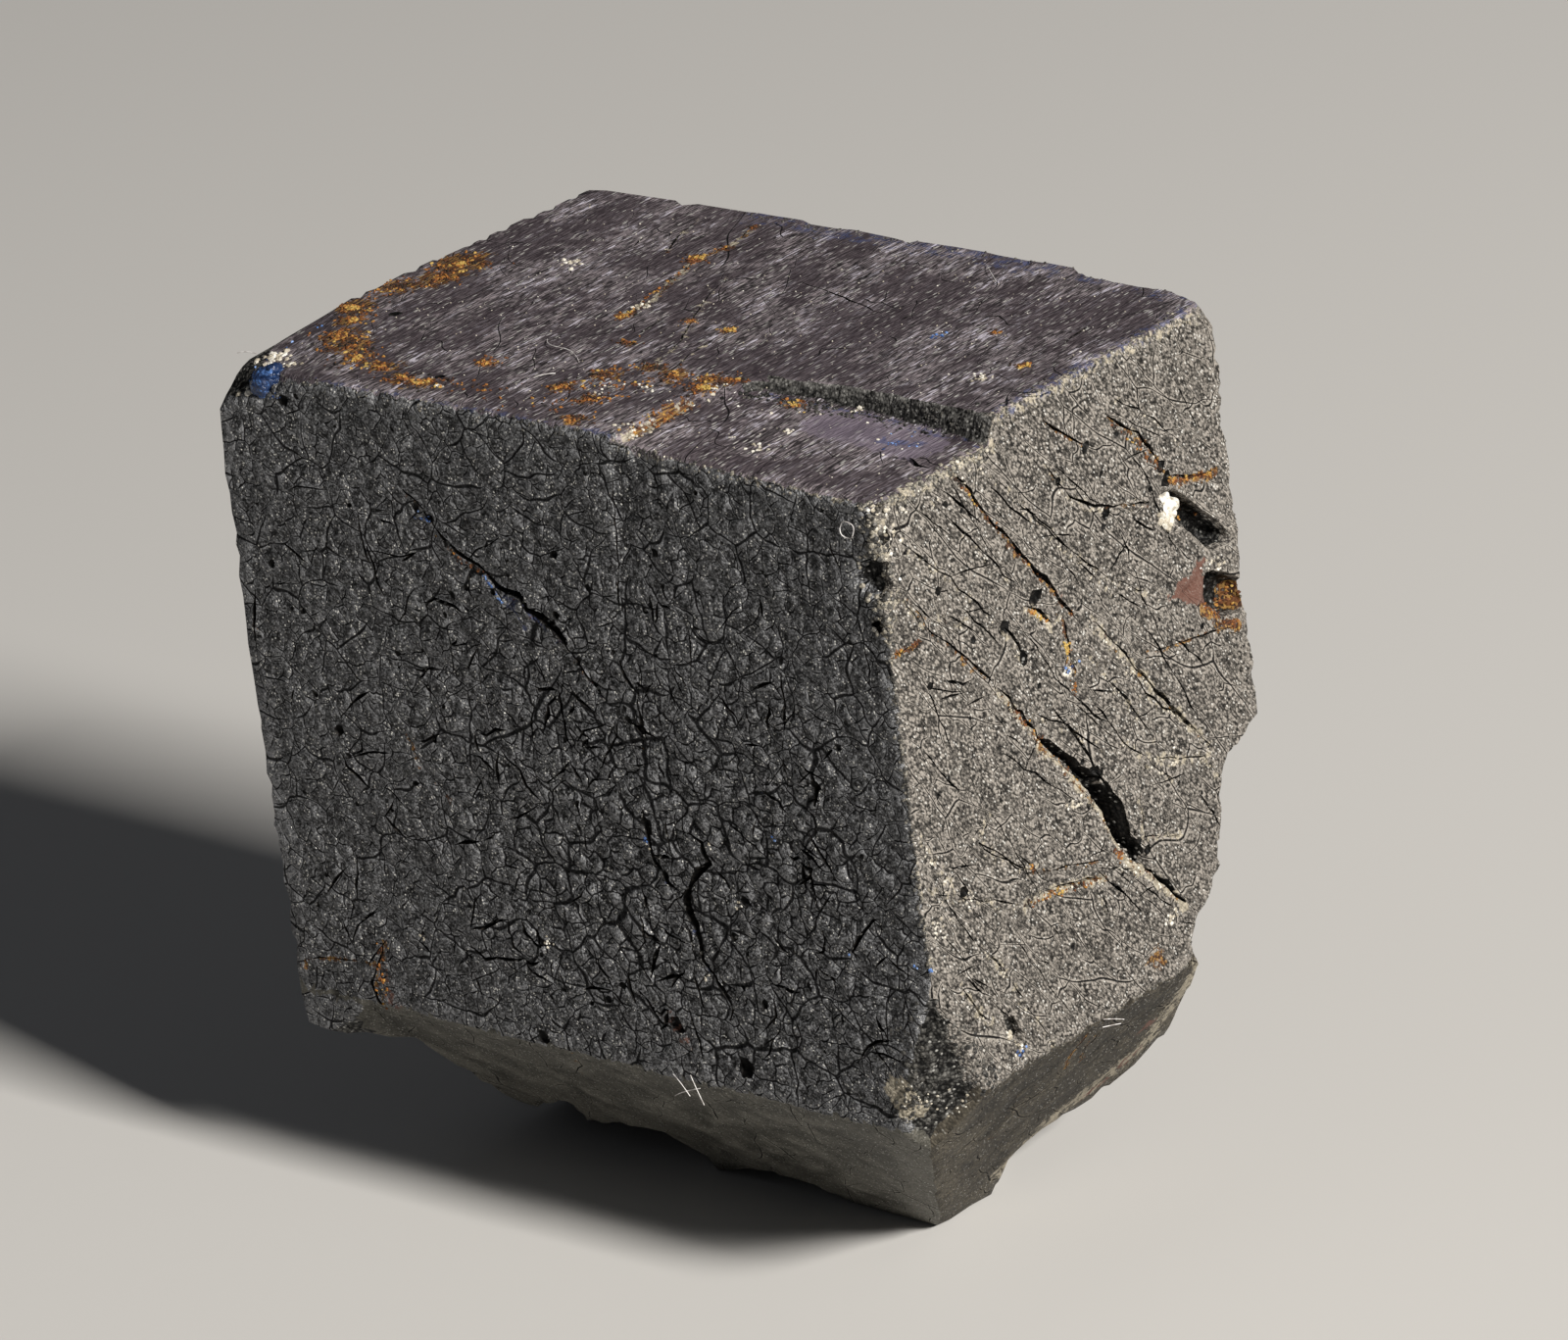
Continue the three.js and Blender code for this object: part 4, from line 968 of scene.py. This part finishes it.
crystal.data.polygons.foreach_set("material_index", slots.astype(np.int32))

surface = BVHTree.FromPolygons([tuple(point) for point in points.tolist()],
                               [tuple(face.vertices) for face in crystal.data.polygons])


def set_down(piece, material=None):
    """Brings a piece from millimetres to its place and size in the frame, and names its finish."""
    if material:
        piece.data.materials.clear()
        piece.data.materials.append(material)
    piece.data.transform(Matrix.Scale(MM, 4))
    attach(piece, "root")


pick(crystal)
bpy.ops.object.shade_smooth_by_angle(angle=math.radians(55))
set_down(crystal)
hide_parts("magnetite_crystal")

# Edge granules: coarse grains of magnetite and a few cream ones, which stand along the worn edges of
# the crystal. One grain in a few shapes is copied along each edge and lodged in the stone.
BATCH = 120


def lodge(name, shapes, spots):
    """Copies the shapes to the spots, each turned its own way, and joins them into one piece."""
    batches = []
    for start in range(0, len(spots), BATCH):
        copies = []
        for place, outward, size, tone in spots[start:start + BATCH]:
            mesh = wander.choice(shapes).data.copy()
            turn = Euler([wander.uniform(0, math.tau) for _ in range(3)]).to_matrix().to_4x4()
            widths = (size * wander.uniform(0.8, 1.3), size, size * wander.uniform(0.55, 0.9), 1)
            facing = outward.to_track_quat("Z", "Y").to_matrix().to_4x4()
            mesh.transform(Matrix.Translation(place) @ facing @ Matrix.Diagonal(widths) @ turn)
            own_tone = mesh.attributes.new("tone", "FLOAT", "POINT")
            own_tone.data.foreach_set("value", [tone] * len(mesh.vertices))
            copies.append(bpy.data.objects.new(name, mesh))
        for one in copies:
            bpy.context.scene.collection.objects.link(one)
        pick(*copies)
        bpy.ops.object.join()
        batches.append(bpy.context.object)
    pick(*batches)
    bpy.ops.object.join()
    piece = bpy.context.object
    piece.name = name
    for shape in shapes:
        bpy.data.objects.remove(shape)
    return piece


def on_skin(face, across, along):
    """Where a line straight down onto the face meets the stone, and which way the skin looks there."""
    return surface.ray_cast(on_face(face, across, along, 1.0), -FACES[face][3])[:2]


def near_skin(point):
    return surface.find_nearest(point)[:2]


def drop(spots, hit, sizes, tones):
    """Adds a grain where the line met the stone, with a size and a tone within these limits."""
    place, outward = hit
    if place:
        spots.append((place, outward, wander.uniform(*sizes), wander.uniform(*tones)))


def grain_finish(name, colours, roughness=0.6, metallic=0.0, clumped=0.0):
    """A finish for loose grains. Each grain's own tone picks its colour, and noise varies it. Clumped
    grains share more of their tone with the grains around them."""
    material, tree, shader, in_mm = start_finish(name)
    tone = put(tree, "Attribute", attribute_name="tone").outputs["Fac"]
    mottle = noise(tree, in_mm, 22.0, 1.0)
    clumps = noise(tree, in_mm, 2.6, 1.0)
    mixed = summed(tree, -0.35 - 1.15 * clumped, (tone, 1.0 - 0.4 * clumped), (mottle, 0.7),
                   (clumps, 2.7 * clumped))
    ramp = put(tree, "ValToRGB", {0: mixed})
    stops = ramp.color_ramp.elements
    for index, colour in enumerate(colours):
        share = index / (len(colours) - 1)
        stop = stops[index] if index < 2 else stops.new(share)
        stop.position = share
        stop.color = (*colour, 1)
    tree.links.new(ramp.outputs[0], shader.inputs["Base Color"])
    tree.links.new(summed(tree, roughness - 0.15, (mottle, 0.3)), shader.inputs["Roughness"])
    bump = put(tree, "Bump", {"Height": mottle, "Distance": 0.03 * MM, "Strength": 0.7}).outputs[0]
    tree.links.new(bump, shader.inputs["Normal"])
    shader.inputs["Metallic"].default_value = metallic
    shader.inputs["Specular IOR Level"].default_value = 0.4
    return material


# Each edge has a start and an end, a number of grains, how far they stray, their sizes and their tones.
GRAINY_EDGES = [
    (at(0.05, 0, 0.5), at(0.05, 0, 3.1), 230, 0.17, (0.05, 0.13), (0.15, 1.0)),
    (at(0.02, 0, 3.1), at(0.02, 0, 10.0), 300, 0.06, (0.03, 0.085), (0.1, 0.85)),
    (at(0.0, 0.1, 0.55), at(0.0, 3.4, 0.6), 190, 0.12, (0.04, 0.11), (0.3, 1.0)),
    (at(6.4, 0, 0.2), at(0.2, 0, 0.5), 170, 0.08, (0.03, 0.07), (0.2, 0.95)),
    (at(16.6, 0, 0.05), at(6.4, 0, 0.05), 150, 0.09, (0.03, 0.07), (0.1, 0.8)),
    (at(0.05, 3.7, 0.05), at(0.1, 10.2, 0.15), 210, 0.1, (0.035, 0.09), (0.25, 0.95)),
    (at(6.0, 3.1, 0.2), at(0.2, 3.7, 0.25), 240, 0.16, (0.04, 0.11), (0.0, 0.5)),
    (at(0.05, 11.0, 1.0), at(0.05, 11.0, 8.5), 120, 0.08, (0.03, 0.08), (0.2, 0.9)),
    (at(1.0, 11.0, 0.05), at(13.0, 11.0, 0.05), 120, 0.1, (0.03, 0.08), (0.1, 0.8)),
    (at(0.05, 0.6, 11.4), at(0.05, 1.2, 12.7), 90, 0.2, (0.05, 0.12), (0.0, 0.6)),
    (at(0.7, 0.05, 11.0), at(1.0, 0.05, 13.2), 90, 0.2, (0.05, 0.12), (0.0, 0.5)),
    (at(0.0, 1.0, 12.95), at(0.0, 7.6, 12.95), 90, 0.07, (0.03, 0.07), (0.2, 0.8)),
]
spots = []
for start, end, count, straying, sizes, tones in GRAINY_EDGES:
    for _ in range(count):
        point = start.lerp(end, wander.random())
        point += Vector([wander.gauss(0, straying) for _ in range(3)])
        drop(spots, near_skin(point), sizes, tones)
edge_granules = lodge("edge_granules", angular_grains(6, 0.12), spots)
EDGE_COLOURS = [(0.006, 0.006, 0.006), (0.04, 0.038, 0.035), (0.12, 0.113, 0.1), (0.34, 0.31, 0.25)]
set_down(edge_granules, grain_finish("edge grain", EDGE_COLOURS, 0.5, 0.1))

# Rust crust: dark brown to golden crumbs of iron rust, which fill the rough places of the top face
# and line cracks and hollows of the right face. The crumbs are copied from a few shapes.
spots = []
for left, back, radius, strength in RUST_SPOTS:
    for _ in range(int(200 * radius * strength) + 10):
        way = wander.uniform(0, math.tau)
        away = radius * abs(wander.gauss(0, 0.62))
        hit = on_skin("top", left + away * math.cos(way), back + 0.8 * away * math.sin(way))
        drop(spots, hit, (0.02, 0.1), (0.0, 1.0))

# Each run has a face, a start and an end on it, a number of crumbs, their straying and their tones.
RUST_RUNS = [
    ("top", (13.2, 1.0), (15.9, 2.6), 70, 0.16, (0.1, 1.0)),
    ("top", (15.8, 3.0), (16.6, 4.6), 50, 0.16, (0.3, 1.0)),
    ("top", (6.1, 3.25), (9.2, 1.7), 110, 0.25, (0.0, 0.9)),
    ("top", (6.3, 0.3), (6.4, 2.7), 70, 0.12, (0.1, 1.0)),
    ("top", (10.7, 5.4), (11.5, 8.5), 50, 0.05, (0.5, 1.0)),
    ("top", (11.5, 8.3), (11.45, 8.7), 26, 0.09, (0.6, 1.0)),
    ("top", (7.3, 2.2), (8.9, 0.5), 60, 0.3, (0.0, 0.8)),
    ("top", (9.7, 0.9), (12.6, 1.0), 50, 0.2, (0.0, 0.8)),
    ("right", (8.6, 3.1), (9.9, 3.4), 60, 0.03, (0.55, 1.0)),
    ("right", (9.2, 5.95), (10.2, 6.7), 70, 0.06, (0.5, 1.0)),
    ("right", (7.0, 1.3), (8.4, 2.8), 40, 0.03, (0.2, 0.8)),
    ("right", (5.0, 5.1), (5.1, 5.4), 26, 0.04, (0.6, 0.95)),
    ("right", (5.1, 5.9), (5.15, 6.2), 12, 0.03, (0.6, 0.95)),
    ("right", (4.1, 4.1), (4.6, 4.5), 24, 0.03, (0.5, 1.0)),
    ("right", (2.3, 0.7), (5.4, 4.7), 60, 0.03, (0.1, 0.7)),
    ("right", (3.2, 5.7), (5.2, 8.2), 60, 0.04, (0.2, 0.9)),
    ("right", (5.75, 9.7), (6.0, 10.0), 20, 0.05, (0.3, 0.7)),
    ("right", (3.0, 9.75), (5.2, 10.1), 50, 0.04, (0.0, 0.6)),
    ("right", (3.2, 9.0), (3.35, 9.15), 14, 0.03, (0.6, 0.9)),
    ("right", (0.05, 3.5), (0.9, 3.5), 22, 0.03, (0.3, 0.8)),
    ("front", (11.0, 3.2), (9.9, 3.6), 18, 0.05, (0.4, 0.9)),
    ("front", (14.55, 12.2), (14.9, 13.6), 46, 0.1, (0.1, 0.8)),
]
for face, start, end, number, straying, tones in RUST_RUNS:
    for _ in range(number):
        share = wander.random()
        across = start[0] + share * (end[0] - start[0]) + wander.gauss(0, straying)
        along = start[1] + share * (end[1] - start[1]) + wander.gauss(0, straying)
        drop(spots, on_skin(face, across, along), (0.025, 0.09), tones)
RUSTY_HOLLOWS = [(0.6, 9.3, 4.3, 0.3, 24), (0.6, 10.6, 6.25, 0.35, 70), (0.5, 9.1, 4.0, 0.12, 10)]
for left, back, down, radius, number in RUSTY_HOLLOWS:
    for _ in range(number):
        drift = Vector([wander.gauss(0, radius / 2) for _ in range(3)])
        drop(spots, near_skin(at(left, back, down) + drift), (0.04, 0.11), (0.1, 0.9))
rust_crust = lodge("rust_crust", angular_grains(6, 0.16, (1.3, 1, 0.7)), spots)
RUST_COLOURS = [
    (0.008, 0.006, 0.004), (0.03, 0.013, 0.007), (0.12, 0.038, 0.01), (0.3, 0.115, 0.018),
    (0.4, 0.27, 0.07),
]
set_down(rust_crust, grain_finish("rust", RUST_COLOURS, 0.8, clumped=1.0))

# Pale crumbs: white and cream grains of another mineral, lodged along the cracks of the right face
# and scattered over the top. The clusters have a face, a middle, a radius, a number and a size.
PALE_CLUSTERS = [
    ("right", 4.74, 8.37, 0.1, 12, 0.08), ("right", 6.11, 10.11, 0.14, 16, 0.07),
    ("right", 7.76, 8.61, 0.09, 10, 0.08), ("right", 1.39, 9.02, 0.1, 9, 0.06),
    ("right", 0.84, 8.43, 0.08, 8, 0.06), ("right", 7.18, 11.69, 0.1, 14, 0.08),
    ("top", 16.0, 0.4, 0.16, 34, 0.15), ("top", 16.25, 1.05, 0.16, 34, 0.15),
    ("top", 15.5, 0.75, 0.14, 14, 0.09), ("right", 8.35, 3.75, 0.1, 24, 0.17),
    ("front", 1.0, 12.75, 0.15, 14, 0.06), ("front", 0.5, 13.1, 0.15, 12, 0.06),
    ("right", 0.2, 12.95, 0.1, 8, 0.05), ("right", 9.55, 5.15, 0.1, 9, 0.07),
    ("right", 9.8, 5.4, 0.1, 9, 0.07), ("right", 2.6, 0.62, 0.3, 30, 0.07),
    ("right", 0.3, 0.9, 0.3, 40, 0.09), ("right", 0.45, 9.2, 0.12, 12, 0.07),
    ("right", 2.05, 12.06, 0.06, 14, 0.1), ("right", 2.4, 12.5, 0.08, 10, 0.07),
    ("right", 5.0, 5.75, 0.1, 12, 0.07), ("top", 13.81, 7.37, 0.13, 16, 0.1),
    ("top", 10.74, 5.89, 0.1, 14, 0.1), ("top", 1.55, 5.19, 0.14, 16, 0.09),
    ("top", 11.56, 0.8, 0.05, 6, 0.07), ("top", 7.5, 2.3, 0.12, 10, 0.07),
    ("top", 8.2, 1.9, 0.2, 14, 0.06), ("top", 6.3, 0.55, 0.15, 24, 0.09), ("top", 6.1, 2.9, 0.1, 8, 0.07),
    ("terrace", 3.76, 1.25, 0.12, 14, 0.08), ("terrace", 3.8, 2.2, 0.06, 7, 0.08),
    ("terrace", 3.29, 3.63, 0.06, 6, 0.09), ("terrace", 4.63, 1.4, 0.05, 5, 0.05),
    ("front", 6.84, 8.6, 0.06, 6, 0.06), ("front", 4.73, 9.45, 0.05, 5, 0.06),
    ("front", 5.29, 8.3, 0.05, 5, 0.05), ("front", 5.86, 11.2, 0.06, 6, 0.06),
    ("front", 9.98, 11.2, 0.07, 7, 0.06), ("front", 13.45, 11.8, 0.05, 5, 0.05),
]


def clustered(clusters, tones):
    """Grains in loose heaps, each heap with its own size of grain."""
    spots = []
    for face, across, along, radius, number, size in clusters:
        for _ in range(number):
            hit = on_skin(face, across + wander.gauss(0, radius), along + wander.gauss(0, radius))
            drop(spots, hit, (0.6 * size, 1.2 * size), tones)
    return spots


spots = clustered(PALE_CLUSTERS, (0.15, 1.0))
for face, width, route, _, _, pale, _ in cracks:
    if pale and face == "right":
        span = (Vector(route[-1]) - Vector(route[0])).length
        for _ in range(int(9 * pale * span)):
            index = wander.randrange(len(route) - 1)
            point = Vector(route[index]).lerp(Vector(route[index + 1]), wander.random())
            aside = width / 2 + abs(wander.gauss(0, 0.06))
            hit = on_skin(face, point.x - 0.8 * aside, point.y + 0.6 * aside)
            drop(spots, hit, (0.025, 0.07), (0.0, 0.9))
for _ in range(420):
    hit = on_skin("top", wander.uniform(0.4, 16.2), wander.uniform(0.3, 10.6))
    drop(spots, hit, (0.018, 0.045), (0.2, 1.0))
pale_crumbs = lodge("pale_crumbs", angular_grains(5, 0.13), spots)
PALE_COLOURS = [(0.16, 0.14, 0.11), (0.36, 0.32, 0.25), (0.54, 0.5, 0.42), (0.7, 0.68, 0.62)]
set_down(pale_crumbs, grain_finish("pale grain", PALE_COLOURS, 0.55))

# The blue mineral: one dark blue glassy grain with a broken face, grown into the top's front left
# corner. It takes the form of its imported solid, with facets raised on it.
GRAIN_VOXEL = 0.03
blue_mineral = copy_of_node("blue_mineral", "blue_grain", GRAIN_VOXEL)
raise_relief(blue_mineral, "VORONOI", 0.3, 0.16, distance_metric="CHEBYCHEV", middle=0.05)
raise_relief(blue_mineral, "VORONOI", 0.12, 0.035, distance_metric="CHEBYCHEV", middle=0.3)
finish_with(blue_mineral, "DECIMATE", ratio=0.25)
pick(blue_mineral)
bpy.ops.object.shade_smooth_by_angle(angle=math.radians(20))


def finish_mineral(name, deep_and_shade, middle, bright_and_highlight, size, roughness, bump_depth):
    """A finish of broken facets: each facet has a tone of its own, varied by noise, from the deep colour
    through the middle one to the bright one. The deep end is partly painted shade and the bright end partly
    painted highlight.
    """
    material, tree, shader, in_mm = start_finish(name)
    facets = put(tree, "TexVoronoi", {"Vector": in_mm, "Scale": 1 / size}).outputs
    chances = put(tree, "SeparateColor", {0: facets["Color"]}).outputs
    mottle = noise(tree, in_mm, 9.0, 3.0, 0.7)
    tone = summed(tree, -0.5, (chances[0], 0.4), (mottle, 1.6))
    colour = blended(tree, ranged(tree, tone, 0.0, 0.6), deep_and_shade, middle)
    colour = blended(tree, ranged(tree, tone, 0.62, 0.9), colour, bright_and_highlight)
    tree.links.new(colour, shader.inputs["Base Color"])
    tree.links.new(summed(tree, roughness - 0.1, (chances[1], 0.3)), shader.inputs["Roughness"])
    height = summed(tree, 0.0, (facets["Distance"], -1.0), (mottle, 1.5))
    bump = put(tree, "Bump", {"Height": height, "Distance": bump_depth * MM, "Strength": 1.0}).outputs[0]
    tree.links.new(bump, shader.inputs["Normal"])
    return material


# The blue grain's brightest facets are painted highlights.
blue_glass = finish_mineral("blue mineral", (0.005, 0.01, 0.03, 1), (0.012, 0.03, 0.09, 1),
                            (0.09, 0.2, 0.48, 1), 0.1, 0.3, 0.03)
set_down(blue_mineral, blue_glass)
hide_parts("blue_grain")

# The pale mineral: one lumpy white grain, grown into a hollow of the right face near its back edge.
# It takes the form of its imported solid, with lumps raised on it.
pale_mineral = copy_of_node("pale_mineral", "pale_grain", GRAIN_VOXEL)
raise_relief(pale_mineral, "VORONOI", 0.24, -0.2, distance_metric="DISTANCE", middle=0.7)
raise_relief(pale_mineral, "CLOUDS", 0.1, 0.04)
finish_with(pale_mineral, "DECIMATE", ratio=0.5)
pick(pale_mineral)
bpy.ops.object.shade_smooth()
# The white grain's cream-brown patches are painted shade, laid by noise.
white_lumps = finish_mineral("white mineral", (0.3, 0.26, 0.2, 1), (0.72, 0.7, 0.64, 1),
                             (0.86, 0.85, 0.82, 1), 0.09, 0.5, 0.015)
set_down(pale_mineral, white_lumps)
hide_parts("pale_grain")

# Blue specks: small crumbs of the same blue mineral, beside the blue grain, in the front face's cracks
# and here and there on the other faces.
BLUE_CLUSTERS = [
    ("front", 16.3, 0.35, 0.12, 10, 0.08), ("front", 16.45, 0.2, 0.08, 8, 0.07),
    ("front", 15.35, 0.5, 0.06, 6, 0.06), ("front", 11.9, 2.5, 0.06, 6, 0.05),
    ("front", 11.6, 2.55, 0.06, 6, 0.05), ("front", 6.84, 8.5, 0.05, 5, 0.06),
    ("front", 3.61, 7.85, 0.05, 5, 0.06), ("right", 5.06, 5.63, 0.08, 10, 0.07),
    ("right", 2.43, 12.6, 0.08, 10, 0.08), ("right", 0.05, 9.9, 0.05, 8, 0.07),
    ("top", 3.84, 6.75, 0.1, 12, 0.07), ("terrace", 1.6, 2.7, 0.2, 16, 0.05),
]
spots = clustered(BLUE_CLUSTERS, (0.0, 1.0))
for _ in range(26):
    share = wander.random()
    hit = on_skin("front", 10.3 - 0.45 * share + wander.gauss(0, 0.02), 3.5 + 0.5 * share)
    drop(spots, hit, (0.03, 0.055), (0.1, 0.9))
blue_specks = lodge("blue_specks", angular_grains(4, 0.12), spots)
BLUE_COLOURS = [(0.008, 0.015, 0.05), (0.025, 0.06, 0.18), (0.09, 0.19, 0.45), (0.3, 0.42, 0.7)]
set_down(blue_specks, grain_finish("blue speck", BLUE_COLOURS, 0.35))

# Lint: a few fine pale fibres that caught on the rough stone: a ring on the front face, and hairs
# on its foot, on the top and at the corner. Each is a thin bent thread.
FIBRE_RADIUS = 0.009
ring = []
for step in range(13):
    angle = math.tau * step / 12
    out = 0.03 + 0.03 * math.sin(3 * angle)
    ring.append((0.67 + 0.17 * math.cos(angle), 1.04 + 0.18 * math.sin(angle), out))
HAIRS = [
    ("front", ring),
    ("front", [(7.0, 13.45, 0.02), (6.75, 13.5, 0.12), (6.55, 13.8, 0.1)]),
    ("front", [(6.5, 13.35, 0.06), (6.35, 13.5, 0.14), (6.25, 13.95, 0.05)]),
    ("front", [(7.0, 13.9, 0.05), (6.7, 13.7, 0.14), (6.3, 13.6, 0.05)]),
    ("top", [(5.5, 10.3, 0.03), (5.1, 9.9, 0.12), (4.7, 9.6, 0.04)]),
    ("top", [(16.75, 0.55, 0.03), (16.6, 0.6, 0.1), (16.3, 0.65, 0.05)]),
    ("right", [(4.8, 12.9, 0.02), (5.1, 13.0, 0.06), (5.4, 13.15, 0.03)]),
    ("right", [(4.75, 13.05, 0.02), (5.0, 13.1, 0.05), (5.3, 13.2, 0.02)]),
    ("top", [(11.2, 3.6, 0.02), (10.9, 3.2, 0.08), (10.2, 3.3, 0.05), (9.7, 2.85, 0.02)]),
    ("top", [(9.95, 1.8, 0.02), (9.8, 1.95, 0.09), (9.7, 2.15, 0.03)]),
]
curve = bpy.data.curves.new("lint_fibre", "CURVE")
curve.dimensions = "3D"
curve.bevel_depth = FIBRE_RADIUS
curve.bevel_resolution = 1
curve.resolution_u = 4
curve.use_fill_caps = True
for face, route in HAIRS:
    spline = curve.splines.new("NURBS")
    spline.points.add(len(route) - 1)
    for point, corner in zip(spline.points, route):
        point.co = (*on_face(face, *corner), 1)
    spline.order_u = 3
    spline.use_endpoint_u = True
lint_fibres = bpy.data.objects.new("lint_fibre", curve)
bpy.context.scene.collection.objects.link(lint_fibres)
pick(lint_fibres)
bpy.ops.object.convert(target="MESH")
lint_fibres = bpy.context.object
lint_fibres.name = "lint_fibres"
bpy.ops.object.shade_smooth()
lint, tree, lint_shader, in_mm = start_finish("lint")
bands = noise(tree, in_mm, 6.0, 1.0)
shade = blended(tree, ranged(tree, bands, 0.4, 0.6), (0.4, 0.37, 0.36, 1), (0.72, 0.7, 0.69, 1))
tree.links.new(shade, lint_shader.inputs["Base Color"])
tree.links.new(summed(tree, 0.35, (bands, 0.3)), lint_shader.inputs["Roughness"])
set_down(lint_fibres, lint)

# The studio: a plain pale floor, a soft light from the right and a weak one from the upper left.
bpy.ops.mesh.primitive_plane_add(size=6)
floor = bpy.context.object
floor.name = "floor"
floor_finish = bpy.data.materials.new("pale floor")
floor_finish.use_nodes = True
floor_shader = floor_finish.node_tree.nodes["Principled BSDF"]
floor_shader.inputs["Base Color"].default_value = (0.56, 0.55, 0.535, 1)
floor_shader.inputs["Roughness"].default_value = 0.9
floor.data.materials.append(floor_finish)


def studio_light(name, direction, distance, size, power, colour):
    place = Vector(direction).normalized() * distance
    aim = (-place).to_track_quat("-Z", "Y").to_euler()
    bpy.ops.object.light_add(type="AREA", location=place, rotation=aim)
    light = bpy.context.object
    light.name = name
    light.data.size = size
    light.data.energy = power
    light.data.color = colour


studio_light("key light", (0.83, -0.12, 0.55), 0.5, 0.09, 4.6, (1.0, 0.965, 0.91))
studio_light("fill light", (-0.5, -1.0, 1.3), 0.7, 0.4, 0.1, (0.9, 0.94, 1.0))

world = bpy.data.worlds.new("studio")
bpy.context.scene.world = world
world.use_nodes = True
world.node_tree.nodes["Background"].inputs[0].default_value = (0.9, 0.93, 1.0, 1)
world.node_tree.nodes["Background"].inputs[1].default_value = 0.05
bpy.context.scene.view_settings.view_transform = "Standard"
